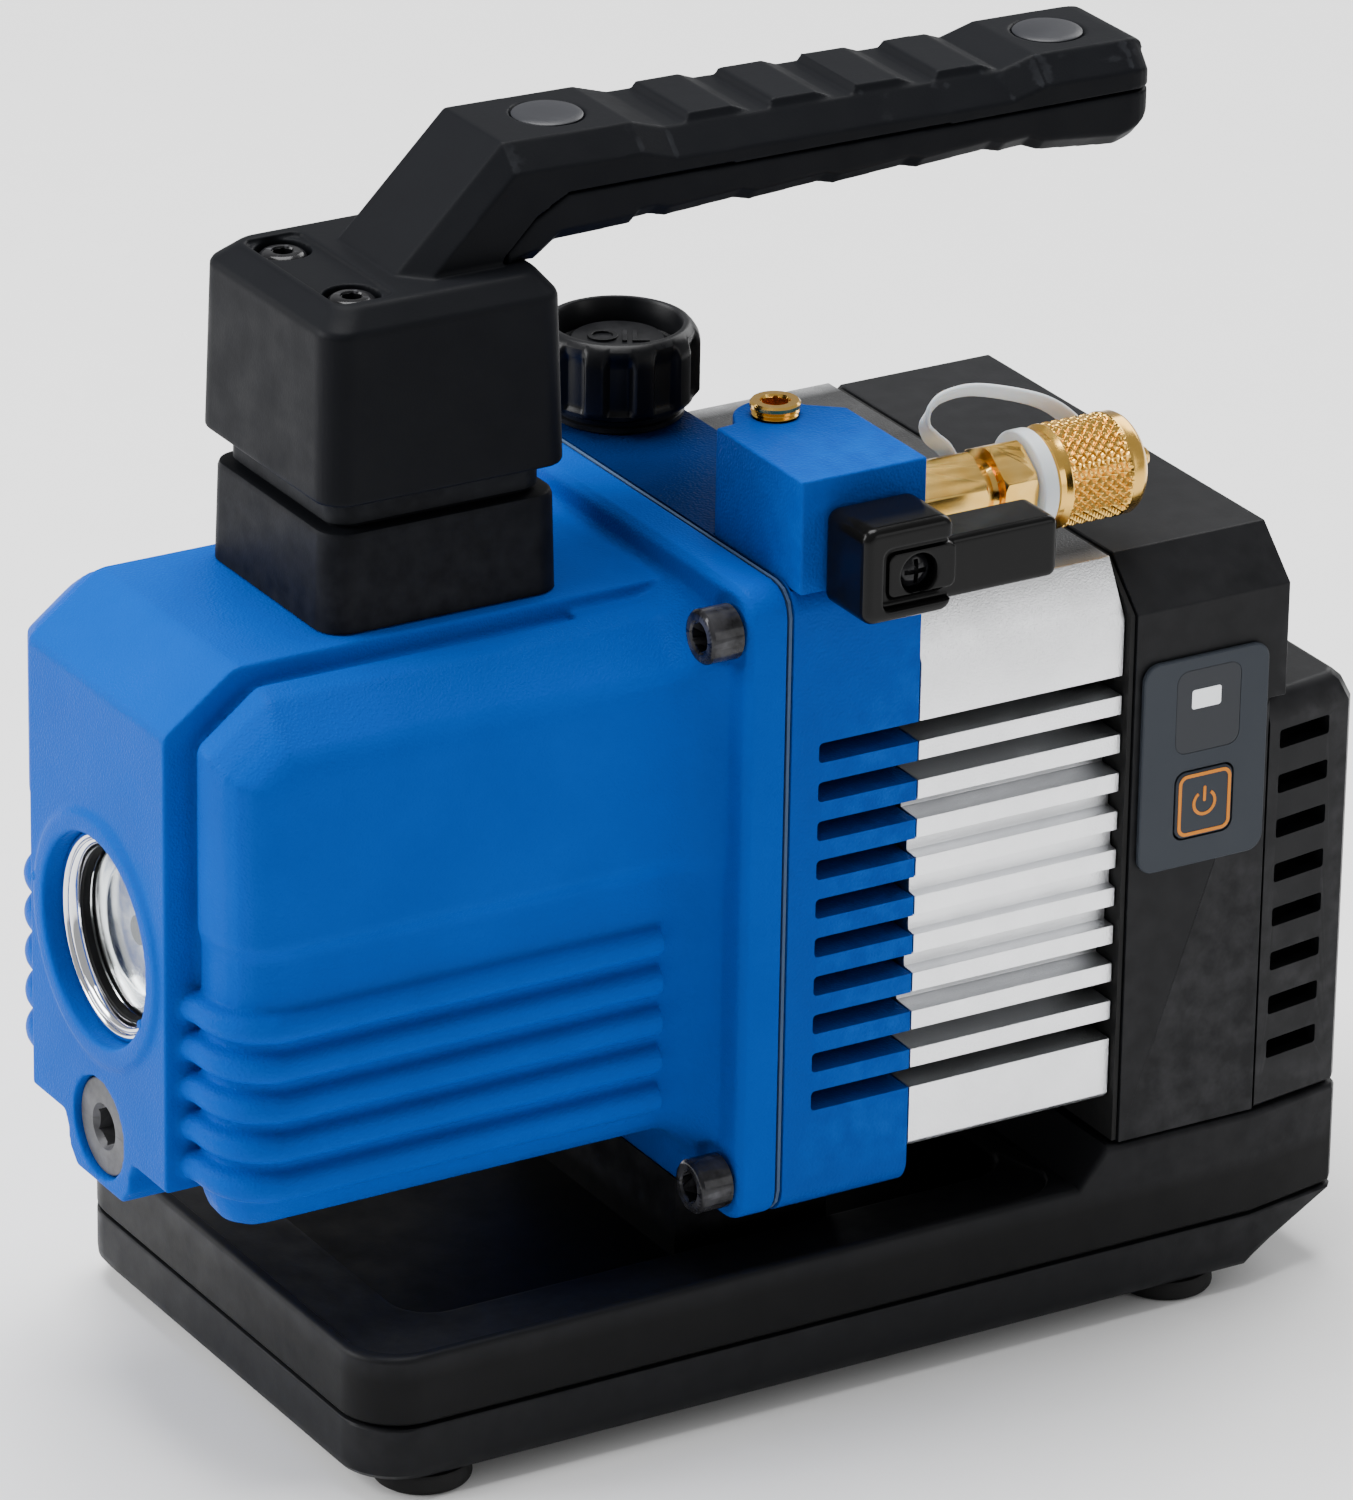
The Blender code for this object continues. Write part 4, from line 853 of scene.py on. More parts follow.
def make_tank_bolts():
    for side, x in (("l", -BOLT_X), ("r", BOLT_X)):
        for level, z in BOLTS.items():
            at = (x, 0, z)
            profile = [(0, 92.7), (4.1, 92.7), (4.6, 92.9), (5.0, 93.4), (5.0, 99.1)]
            profile += [(4.8, 99.3), (3.0, 99.3), (3.0, 114.0), (0, 114.0)]
            bolt = turned("tank_screw_%s_%s" % (level, side), profile, "Y", at, 72)
            socket = hex_socket("socket", "Y", at, 5.0, 90.0, 96.6)
            mouth = turned("mouth", [(0, 91.5), (3.9, 91.5), (2.8, 93.1), (0, 93.3)], "Y", at, 36)
            cut(bolt, socket, mouth)
            place(bolt, "housing", "oxide", "black_oxide", "tank_bolt_%s_%s" % (level, side), sharp=30)


# ------------------------------------------------------------------ pump block and motor


def make_block():
    block = prism("pump_block_casting", rounded(-53.5, 53.5, *FLANGE_Z, 5.5, 8), "Y", 109.0, 135.0)
    cutters = []
    for i in range(GROOVE_COUNT):
        z = GROOVE_FIRST_Z + RIB_PITCH * i
        for x in ((45.6, 60.0), (-60.0, -45.6)):
            groove = prism("groove", rounded(114.6, 140.0, z - 1.9, z + 1.9, 0.8, 3), "X", *x)
            cutters.append(groove)
    cutters.append(prism("inlet_pocket", inlet_outline(0.15), "Z", 157.1, 165.0))
    cutters.append(turned("shaft_hole", rod(12.0, 100.0, 140.0), "Y", (0, 0, SHAFT_Z), 40))
    cut(block, *cutters)
    round_edges(block, 0.45, 3, 35)
    place(block, "housing", "block", "block_blue", "pump_block", sharp=45)
    finish_node("paper", "tank_gasket")
    finish_node("steel", "pump_stator", "stator_cover", "pump_rotor", "exhaust_valve", "shaft",
                "motor_rotor", "bearing_plate")
    finish_node("carbon", "vane_l", "vane_r")
    finish_node("rubber", "shaft_seal", "housing_gasket")
    finish_node("copper", "motor_stator")
    finish_node("felt", "exhaust_filter")
    finish_node("board", "control_board")
    finish_node("cap", "fan")


def motor_section():
    right = [(0.0, 44.7), (52.4, 44.7), (53.5, 45.8)]
    for i in range(GROOVE_COUNT):
        z = GROOVE_FIRST_Z + RIB_PITCH * i
        reach = max(51.6 ** 2 - (z - SHAFT_Z) ** 2, 0.0) ** 0.5
        depth = min(max(reach, 42.0), 52.4)
        right += [(53.5, z - 1.9), (depth, z - 1.7), (depth, z + 1.7), (53.5, z + 1.9)]
    right += [(53.5, 139.0), (47.8, 149.0), (0.0, 149.0)]
    return right[:-1] + [(-x, z) for x, z in reversed(right[1:])]


def make_motor():
    case = prism("motor_case", motor_section(), "Y", 135.3, 177.9)
    bore = turned("bore", rod(44.5, 139.0, 180.0), "Y", (0, 0, SHAFT_Z), 96)
    cut(case, bore)
    round_edges(case, 0.22, 2, 30)
    place(case, "housing", "silver", "motor_aluminium", "motor_housing", sharp=40)


# ------------------------------------------------------------------ rear housing and battery


def housing_section(inset):
    w = 55.4 - inset
    tw = 46.3 - inset * 0.6
    right = [(w, 36.1 + inset), (w, 140.0 - inset * 0.4), (tw, 148.9 - inset)]
    return right + [(-x, z) for x, z in reversed(right)]


def cover_outline(inset):
    right = [(55.4 - inset, 208.9), (52.4 - inset, 228.0 - inset), (50.6 - inset, 229.6 - inset)]
    return right + [(-x, y) for x, y in reversed(right)]


def make_housing():
    shell = prism("battery_housing", housing_section(0.0), "Y", 179.4, 212.0)
    low = box("back_cut", (-60, 60), (208.6, 215.0), (30.0, 118.1))
    inner = prism("inner", housing_section(2.6), "Y", 176.0, 209.4)
    key_hole = prism("key_hole", rounded(187.9, 200.5, 94.6, 108.0, 2.2), "X", 50.0, 60.0)
    cut(shell, low, inner, key_hole)
    round_edges(shell, 0.8, 3, 30)
    place(shell, "housing", "housing", "housing_plastic", "rear_housing", sharp=50)

    rings = []
    for z, inset in ((36.1, 0.8), (36.9, 0.0), (112.8, 0.0), (116.4, 1.4), (117.6, 2.6), (117.8, 3.4)):
        rings.append((z, [(x, max(y, 208.9)) for x, y in cover_outline(inset)]))
    cover = loft("vent_cover", rings)
    inside = prism("inside", cover_outline(2.6), "Z", 38.7, 115.2)
    mouth = box("mouth", (-51.0, 51.0), (205.0, 212.0), (38.7, 115.2))
    cut(cover, inside, mouth)
    slots = []
    for i in range(8):
        z = 109.2 - 8.83 * i
        slots.append(prism("slot", rounded(211.4, 223.4, z - 1.85, z + 1.85, 0.5, 2), "X", -60.0, 60.0))
    cut(cover, *slots)
    join(cover, box("bay_wall", (-40.0, 40.0), (198.6, 228.0), (42.0, 111.6)))
    cut(cover, box("bay", (-36.4, 36.4), (200.6, 240.0), (45.2, 108.4)))
    round_edges(cover, 0.5, 3, 30)
    place(cover, "housing", "housing", "housing_plastic", "rear_cover", sharp=50)


def make_battery():
    pack = loft("battery_case", [
        (201.0, rounded(-36.0, 36.0, 45.6, 108.0, 2.0)),
        (229.0, rounded(-36.0, 36.0, 45.6, 108.0, 2.0)),
        (232.2, rounded(-35.4, 35.4, 46.2, 107.4, 2.4)),
        (234.2, rounded(-33.6, 33.6, 48.0, 105.6, 3.0)),
        (234.8, rounded(-31.6, 31.6, 50.0, 103.6, 3.4)),
    ], "Y")
    cuts = [box("latch_well", (-9.2, 9.2), (228.4, 240.0), (92.0, 104.0))]
    for i in range(6):
        z = 56.0 + 5.0 * i
        cuts.append(prism("grip_groove", rounded(-24.0, 24.0, z - 1.2, z + 1.2, 1.1, 4), "Y", 233.8, 240.0))
    for x in GAUGE_X:
        cuts.append(turned("gauge", rod(1.1, 234.2, 240.0), "Y", (x, 0, GAUGE_Z), 20))
    cut(pack, *cuts)
    round_edges(pack, 0.4, 2, 30)
    place(pack, "battery", "housing", "housing_plastic", "battery_pack", sharp=45)
    for i, x in enumerate(GAUGE_X):
        dome = [(0, 234.3), (0.95, 234.3), (0.95, 234.55), (0.6, 234.75), (0, 234.8)]
        lens = turned("gauge_lens_%d" % i, dome, "Y", (x, 0, GAUGE_Z), 20)
        place(lens, "battery", "led", "label_slate")

    latch = loft("battery_release", [
        (231.0, rounded(-8.8, 8.8, 93.4, 102.6, 1.6)),
        (233.6, rounded(-8.8, 8.8, 93.4, 102.6, 1.6)),
        (234.4, rounded(-8.2, 8.2, 94.0, 102.0, 1.4)),
    ], "Y")
    ridges = []
    for i in range(5):
        x = -5.0 + 2.5 * i
        ridges.append(box("ridge_cut", (x - 0.45, x + 0.45), (233.8, 236.0), (95.2, 100.8)))
    cut(latch, *ridges)
    round_edges(latch, 0.2, 2, 30)
    place(latch, "battery_key", "orange", "key_orange", "battery_latch", sharp=45)


def flat_ring(name, outer, inner, low, high):
    """A flat frame along X between an outer and an inner outline with as many points."""
    bm = bmesh.new()
    loops = []
    for outline, x in ((outer, low), (outer, high), (inner, high), (inner, low)):
        loops.append([bm.verts.new(Vector((x, y, z))) for y, z in outline])
    loops.append(loops[0])
    for here, there in zip(loops, loops[1:]):
        for i in range(len(here)):
            j = (i + 1) % len(here)
            bm.faces.new((here[i], here[j], there[j], there[i]))
    return as_object(name, bm)


def make_label():
    label = loft("control_panel", [
        (55.6, rounded(180.7, 207.4, 89.3, 130.0, 3.2, 8)),
        (56.3, rounded(180.7, 207.4, 89.3, 130.0, 3.2, 8)),
        (56.5, rounded(180.95, 207.15, 89.55, 129.75, 3.0, 8)),
    ], "X")
    cut(label,
        prism("key_hole", rounded(187.8, 200.6, 94.5, 108.1, 2.2), "X", 50.0, 60.0),
        prism("window_hole", rounded(187.6, 201.4, 111.4, 127.6, 2.4), "X", 56.36, 60.0))
    place(label, "housing", "film", "label_slate", "control_label", sharp=30)
    window = loft("panel_window", [
        (56.1, rounded(187.7, 201.3, 111.5, 127.5, 2.3)),
        (56.44, rounded(187.7, 201.3, 111.5, 127.5, 2.3)),
        (56.5, rounded(187.9, 201.1, 111.7, 127.3, 2.1)),
    ], "X")
    place(window, "housing", "window", "label_slate")
    led = loft("charge_light", [
        (56.3, rounded(190.9, 197.1, 119.9, 123.6, 0.5, 3)),
        (56.56, rounded(190.9, 197.1, 119.9, 123.6, 0.5, 3)),
        (56.62, rounded(191.1, 196.9, 120.1, 123.4, 0.4, 3)),
    ], "X")
    place(led, "housing", "led", "label_slate")

    mid_y, mid_z = 194.2, 101.3
    key = loft("power_key_cap", [
        (53.4, rounded(188.2, 200.2, 94.9, 107.7, 2.0)),
        (56.5, rounded(188.2, 200.2, 94.9, 107.7, 2.0)),
        (56.8, rounded(188.6, 199.8, 95.3, 107.3, 1.8)),
    ], "X")
    place(key, "power_key", "film", "label_slate", "power_button", sharp=30)
    outer = rounded(188.6, 199.8, 95.3, 107.3, 1.8)
    inner = rounded(189.25, 199.15, 95.95, 106.65, 1.2)
    frame_ring = flat_ring("power_key_frame", outer, inner, 56.7, 56.88)
    place(frame_ring, "power_key", "orange", "key_orange", sharp=30)
    outer, inner = [], []
    for i in range(29):
        angle = math.radians(90 + 36 + (360 - 72) * i / 28)
        outer.append((mid_y + 2.55 * math.cos(angle), mid_z + 2.55 * math.sin(angle)))
        inner.append((mid_y + 1.95 * math.cos(angle), mid_z + 1.95 * math.sin(angle)))
    symbol = prism("power_key_mark", outer + list(reversed(inner)), "X", 56.7, 56.88)
    stem = rounded(mid_y - 0.3, mid_y + 0.3, mid_z + 0.2, mid_z + 3.2, 0.25, 3)
    join(symbol, prism("stem", stem, "X", 56.7, 56.88))
    place(symbol, "power_key", "orange", "key_orange", sharp=30)


# ------------------------------------------------------------------ inlet valve


def inlet_outline(grow):
    """The inlet block from above: square, with a round lobe under the plug."""
    x0, x1 = 25.2 - grow, 54.4 + grow
    y0, y1 = 109.4 - grow, 134.8 + grow
    r = 7.4 + grow
    outline = [(x1, y0), (x1, y1), (27.6 - grow, y1), (23.0 - grow, 129.2 + grow)]
    for i in range(13):
        angle = math.radians(110 + 140 * i / 12)
        outline.append((PLUG_AT[0] + r * math.cos(angle), PLUG_AT[1] + r * math.sin(angle)))
    return outline + [(x0 - 0.4, 113.4), (x0, y0)]


def make_inlet():
    body = prism("inlet_body", inlet_outline(0.0), "Z", 157.3, 178.5)
    cut(body,
        turned("plug_bore", [
            (0, 168.0), (3.9, 168.0), (3.9, 178.0), (4.5, 179.0), (4.5, 184.0), (0, 184.0),
        ], "Z", PLUG_AT, 40),
        turned("stem_bore", rod(4.6, 40.0, 60.0), "X", (0, PORT_Y, PORT_Z), 40))
    round_edges(body, 0.5, 3, 40)
    place(body, "housing", "inlet", "block_blue", "inlet_block", sharp=45)

    z0 = 178.5
    profile = [(0, z0 - 7.0), (3.6, z0 - 7.0)]
    for i in range(5):
        z = z0 - 6.6 + 1.25 * i
        profile += [(3.6, z), (3.85, z + 0.55), (3.6, z + 1.1)]
    profile += [(3.7, z0 - 0.1), (4.15, z0 + 0.25), (3.8, z0 + 0.6), (4.35, z0 + 1.0), (4.0, z0 + 1.35)]
    profile += [(4.55, z0 + 1.75), (4.55, z0 + 2.4), (4.2, z0 + 2.8), (2.9, z0 + 2.8), (0, z0 + 2.8)]
    plug = turned("port_screw", profile, "Z", PLUG_AT, 64)
    cut(plug, hex_socket("socket", "Z", PLUG_AT, 4.6, z0 - 1.4, z0 + 5.0),
        turned("mouth", [
            (0, z0 + 1.9), (2.5, z0 + 2.3), (3.4, z0 + 4.0), (0, z0 + 4.0),
        ], "Z", PLUG_AT, 40))
    place(plug, "housing", "brass", "brass", "port_plug", sharp=35)
    finish_node("chrome", "valve_ball")


def make_lever():
    z0, z1 = 155.6, 173.4
    knob = prism("lever_moulding", rounded(113.6, 131.8, z0, z1, 2.4, 5), "X", 55.0, 68.8)
    round_edges(knob, 1.5, 4, 60)
    arm = prism("arm", rounded(122.0, 154.6, 156.6, 168.0, 1.6, 4), "X", 56.0, 66.4)
    round_edges(arm, 1.1, 3, 60)
    join(knob, arm)
    dish = rounded(117.4, 140.0, 157.7, 169.4, 1.8, 5)
    cut(knob, prism("dish", dish, "X", 66.4, 75.0))
    fill = prism("fill", rounded(119.4, 133.0, 159.4, 167.6, 1.4, 4), "X", 64.0, 67.3)
    join(knob, fill)
    at = (0, PORT_Y, PORT_Z)
    well = [(0, 63.4), (3.6, 63.4), (3.6, 66.8), (4.0, 67.6), (4.0, 72.0), (0, 72.0)]
    pin = [(0, 50.0), (2.7, 50.0), (2.7, 57.5), (1.7, 57.5), (1.7, 66.0), (0, 66.0)]
    cut(knob, turned("well", well, "X", at, 48), turned("pin", pin, "X", at, 40))
    soften(knob, 0.24, 3, 0.35)
    place(knob, "lever", "lever", "lever_plastic", "valve_lever", sharp=60, weighted=False)
    profile = [(0, 57.2), (1.5, 57.2), (1.5, 63.7), (3.2, 63.7), (3.3, 64.4)]
    profile += [(3.1, 65.2), (2.4, 65.8), (1.2, 66.1), (0, 66.2)]
    screw = turned("lever_fastener", profile, "X", at, 48)
    bars = []
    for half_y, half_z in ((2.2, 0.45), (0.45, 2.2)):
        span_y = (PORT_Y - half_y, PORT_Y + half_y)
        bars.append(box("slot", (64.7, 70.0), span_y, (PORT_Z - half_z, PORT_Z + half_z)))
    cut(screw, *bars)
    place(screw, "lever", "oxide", "black_oxide", "lever_screw", sharp=30)


def hex_nut(name, radius, low, high, chamfer):
    """A hexagon along the inlet's axis, with its corners turned off at both ends."""
    nut = prism(name, polygon(radius, 6, (PORT_X, PORT_Z), HEX_PHASE), "Y", low, high)
    trim = radius * 0.93
    corner = radius + 0.3
    envelope = [(0, low), (trim, low), (corner, low + chamfer)]
    envelope += [(corner, high - chamfer), (trim, high), (0, high)]
    return common(nut, turned("envelope", envelope, "Y", (PORT_X, 0, PORT_Z), 64))


def make_fitting():
    at = (PORT_X, 0, PORT_Z)
    fitting = hex_nut("flare_fitting", 8.3, 135.1, 152.4, 0.9)
    second = hex_nut("second_hex", 8.6, 155.8, 162.6, 0.8)
    neck = [(0, 134.9), (5.0, 134.9), (5.0, 151.8), (5.5, 152.6), (5.0, 153.2), (5.0, 155.0)]
    neck += [(5.6, 155.9), (5.4, 157.0), (5.4, 161.9), (5.4, 163.6), (5.4, 180.2), (5.0, 180.6), (0, 180.6)]
    join(fitting, second, turned("neck", neck, "Y", at, 64))
    cut(fitting, turned("bore", rod(2.4, 133.0, 183.0), "Y", at, 32))
    round_edges(fitting, 0.15, 2, 25)
    place(fitting, "housing", "brass", "brass", "inlet_fitting", sharp=40)
    finish_node("rubber", "cap_seal")

    knurl_count = 30
    knurl_pitch = 2.0

    def knurl(angle, radius, height):
        if not 169.0 < height < 181.6 or radius < 9.0:
            return radius
        fade = min((height - 169.0) / 0.5, (181.6 - height) / 0.5, 1.0)
        around = knurl_count * angle / math.tau
        first = (around + height / knurl_pitch) % 1.0
        second = (around - height / knurl_pitch) % 1.0
        ridge = min(abs(2 * first - 1), abs(2 * second - 1))
        return radius - 0.75 * fade * (1 - min(ridge * 1.35, 1.0))

    profile = [(0, 183.2), (5.7, 183.2), (5.7, 166.6), (8.2, 166.6), (8.6, 166.9), (8.6, 168.0)]
    profile += [(9.0, 168.4), (9.5, 168.8)]
    profile += [(9.5, 168.8 + 0.2 * i) for i in range(1, 65)]
    profile += [(9.4, 182.0), (9.4, 183.6), (9.0, 184.4), (7.9, 185.4), (7.2, 185.7)]
    profile += [(2.4, 185.7), (2.2, 186.0), (2.2, 189.2), (1.7, 189.9), (0.9, 190.0), (0, 190.0)]
    cap = turned("knurled_cap", profile, "Y", at, 320, knurl)
    place(cap, "flare_cap_body", "brass", "brass", "flare_cap", sharp=28, weighted=False)

    section = [(5.8, 163.2), (6.1, 163.0), (9.0, 163.0), (9.4, 163.4)]
    section += [(9.4, 165.8), (9.0, 166.2), (6.1, 166.2), (5.8, 166.0)]
    ring = turned("cap_strap_ring", section, "Y", at, 72)
    place(ring, "flare_carrier", "strap", "strap_plastic", "strap_ring", sharp=50)


def smooth_path(anchors, steps):
    """A Catmull-Rom curve through the anchors."""
    points = []
    for i in range(len(anchors) - 1):
        p0 = Vector(anchors[max(i - 1, 0)])
        p1 = Vector(anchors[i])
        p2 = Vector(anchors[i + 1])
        p3 = Vector(anchors[min(i + 2, len(anchors) - 1)])
        for k in range(steps):
            t = k / steps
            bend = (2 * p0 - 5 * p1 + 4 * p2 - p3) * t * t
            swing = (3 * p1 - p0 - 3 * p2 + p3) * t ** 3
            points.append((2 * p1 + (p2 - p0) * t + bend + swing) / 2)
    points.append(Vector(anchors[-1]))
    return points


STRAP_HALF_W = 1.8
STRAP_HALF_T = 0.5
STRAP_FACE = Vector((0.6, -0.2, 0.75))


def make_strap():
    """The cap's retaining strap, a flat band on one smooth arch from the fitting to the cap."""
    anchors = [(-6.4, 154.1, -1.0), (-6.8, 153.8, 2.6), (-6.2, 151.4, 6.4), (-5.0, 147.9, 9.8)]
    anchors += [(-4.1, 146.3, 13.0), (-3.7, 146.9, 16.0), (-3.8, 149.8, 17.6), (-4.4, 157.0, 17.2)]
    anchors += [(-6.4, 170.4, 12.2), (-8.8, 178.6, 6.6), (-11.0, 181.4, 2.4)]
    anchors += [(-11.4, 176.0, 0.2), (-10.2, 166.0, 0.0)]
    path = [Vector((PORT_X, 0, PORT_Z)) + p for p in smooth_path(anchors, 8)]
    rings = []
    for i, p in enumerate(path):
        along = (path[min(i + 1, len(path) - 1)] - path[max(i - 1, 0)]).normalized()
        wide = (STRAP_FACE - along * STRAP_FACE.dot(along)).normalized()
        thin = along.cross(wide).normalized()
        ring = []
        for k in range(16):
            angle = math.tau * k / 16
            c, s = math.cos(angle), math.sin(angle)
            across = wide * STRAP_HALF_W * math.copysign(abs(c) ** 0.45, c)
            ring.append(p + across + thin * STRAP_HALF_T * math.copysign(abs(s) ** 0.6, s))
        rings.append(ring)
    strap = skin("retaining_strap", rings)
    strap.data.transform(TO_ROW)
    strap.data.shade_smooth()
    strap.data.materials.append(LOOKS["strap"])
    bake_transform(strap)
    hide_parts("cap_strap")


# ------------------------------------------------------------------ oil filler


def make_filler():
    at = (-33.4, 123.8, 158.5)
    neck = [(5.0, -6.0), (6.6, -6.0), (6.6, 0.2), (11.9, 0.2), (12.3, 0.5), (12.3, 1.3), (11.8, 1.6)]
    neck += [(11.8, 2.4), (11.5, 2.7), (9.4, 2.7), (9.4, 9.0), (5.0, 9.0)]
    collar = turned("filler_collar", neck, "Z", at, 72)
    place(collar, "housing", "cap", "cap_plastic", "filler_neck", sharp=35)
    finish_node("rubber", "filler_seal")

    def flutes(angle, radius, height):
        if radius < 11.9 or height > 17.2:
            return radius
        wave = (10 * angle / math.tau + 0.3) % 1.0
        depth = smooth_step((0.34 - abs(wave - 0.5)) / 0.15)
        rise = smooth_step((height - 3.6) / 1.4) * smooth_step((17.0 - height) / 3.4)
        return radius - 1.7 * depth * rise

    profile = [(0, 10.6), (9.8, 10.6), (9.8, 3.0), (13.0, 3.0), (13.8, 3.4), (14.6, 4.2)]
    profile += [(15.0, 4.8 + 0.6 * i) for i in range(16)]
    profile += [(14.9, 14.6), (14.6, 15.6), (14.0, 16.6), (13.2, 17.4), (12.5, 17.7)]
    profile += [(11.9, 17.6), (11.6, 17.1)]
    profile += [(11.3, 12.6), (10.9, 12.2), (9.4, 12.2), (9.0, 12.5), (8.7, 14.0), (8.4, 14.3), (0, 14.3)]
    cap = turned("filler_cap_moulding", profile, "Z", at, 240, flutes)
    text = bpy.data.curves.new("cap_word", "FONT")
    text.body = "OIL"
    text.size = 7.4
    text.align_x = "CENTER"
    text.align_y = "CENTER"
    text.extrude = 0.35
    text.bevel_depth = 0.08
    word = bpy.data.objects.new("cap_word", text)
    bpy.context.scene.collection.objects.link(word)
    word.rotation_euler = (0, 0, math.radians(60))
    word.location = Vector(at) + Vector((0, 0, 14.3))
    bpy.context.view_layer.update()
    depsgraph = bpy.context.evaluated_depsgraph_get()
    mesh = bpy.data.meshes.new_from_object(word.evaluated_get(depsgraph))
    mesh.transform(word.matrix_world)
    bpy.data.objects.remove(word)
    letters = bpy.data.objects.new("cap_letters", mesh)
    bpy.context.scene.collection.objects.link(letters)
    place(letters, "filler_cap_body", "cap", "cap_plastic", sharp=30, weighted=False)
    place(cap, "filler_cap_body", "cap", "cap_plastic", "filler_cap", sharp=35, weighted=False)


# ------------------------------------------------------------------ handle

GRIP_HALF_W = 14.8
GRIP_END = 206.4


def grip_top(y):
    """Height of the grip's top face along its length."""
    if y < 74.5:
        return 211.4 + (y - 53.0) * 21.2 / 21.5
    line = 232.6 - (y - 74.5) * 0.018
    if y < 100.0 or y > 183.0:
        return line
    dip = 2.0 * min((y - 100.0) / 7.0, (183.0 - y) / 7.0, 1.0)
    return line - dip


def pad_rise(y):
    """Extra height of the four raised finger pads."""
    for i in range(4):
        start = 112.4 + 17.0 * i
        if start - 1.2 < y < start:
            return 1.5 * (y - start + 1.2) / 1.2
        if start <= y < start + 8.6:
            return 1.5
        if start + 8.6 <= y < start + 12.4:
            return 1.5 * (1 - (y - start - 8.6) / 3.8)
    return 0.0


def parting(y):
    """Height of the line between the grip's two halves."""
    if y < 71.8:
        return 206.0
    if y < 78.5:
        return 212.6 + (y - 71.8) * 1.0
    if y < 85.4:
        return 219.3 + (y - 78.5) * 0.55
    return 223.1 - (y - 85.4) * 0.009


def arm_ring(y, low, high):
    """One cross-section of the arm: flat sides, sloped shoulders and a pad on top."""
    w = GRIP_HALF_W
    flat = w - 4.4
    pad = 9.2
    rise = pad_rise(y)
    end = max(0.0, y - (GRIP_END - 5.0)) / 5.0
    pinch = 4.2 * (1 - math.sqrt(max(1 - end * end, 0.0)))
    w -= pinch
    flat -= pinch * 0.6
    points = [(-w, low), (w, low), (w, high - 4.6), (flat, high - 0.2), (pad + 0.8, high), (pad, high + rise)]
    points += [(-pad, high + rise), (-pad - 0.8, high), (-flat, high - 0.2), (-w, high - 4.6)]
    return [Vector((x, y, z)) for x, z in points]


def underside(y):
    """Height of the grip's wavy lower face."""
    if y < 79.6:
        return 211.0
    if y < 83.7:
        return 210.9 + (y - 79.6) * 0.68
    if y < 99.0:
        return 213.8 + (y - 83.7) * 0.02
    if y > 199.0:
        return 211.6 + (y - 199.0) * 0.3
    if y > 180.0:
        return 213.6 - (y - 180.0) * 0.105
    phase = ((y - 102.8) / 17.2) % 1.0
    return 215.2 - 0.85 * (phase / 0.18 if phase < 0.18 else 1 - (phase - 0.18) / 0.82)


def make_post():
    x, y0, y1 = 22.8, 33.6, 80.8
    rings = [
        (152.8, rounded(-x, x, y0, y1, 5.4, 8)),
        (170.0, rounded(-x + 0.5, x - 0.5, y0 + 0.5, y1 - 0.5, 5.0, 8)),
        (170.9, rounded(-x + 0.8, x - 0.8, y0 + 0.8, y1 - 0.8, 4.8, 8)),
        (171.2, rounded(-x + 1.4, x - 1.4, y0 + 1.4, y1 - 1.4, 4.4, 8)),
        (171.2, rounded(-x + 3.5, x - 3.5, y0 + 3.5, y1 - 3.5, 3.8, 8)),
        (171.9, rounded(-x + 3.5, x - 3.5, y0 + 3.5, y1 - 3.5, 3.8, 8)),
        (172.0, rounded(-x + 2.7, x - 2.7, y0 + 2.7, y1 - 2.7, 4.2, 8)),
        (176.7, rounded(-x + 2.7, x - 2.7, y0 + 2.7, y1 - 2.7, 4.2, 8)),
    ]
    place(loft("handle_pillar", rings), "housing", "handle", "handle_plastic", "handle_post", sharp=40)


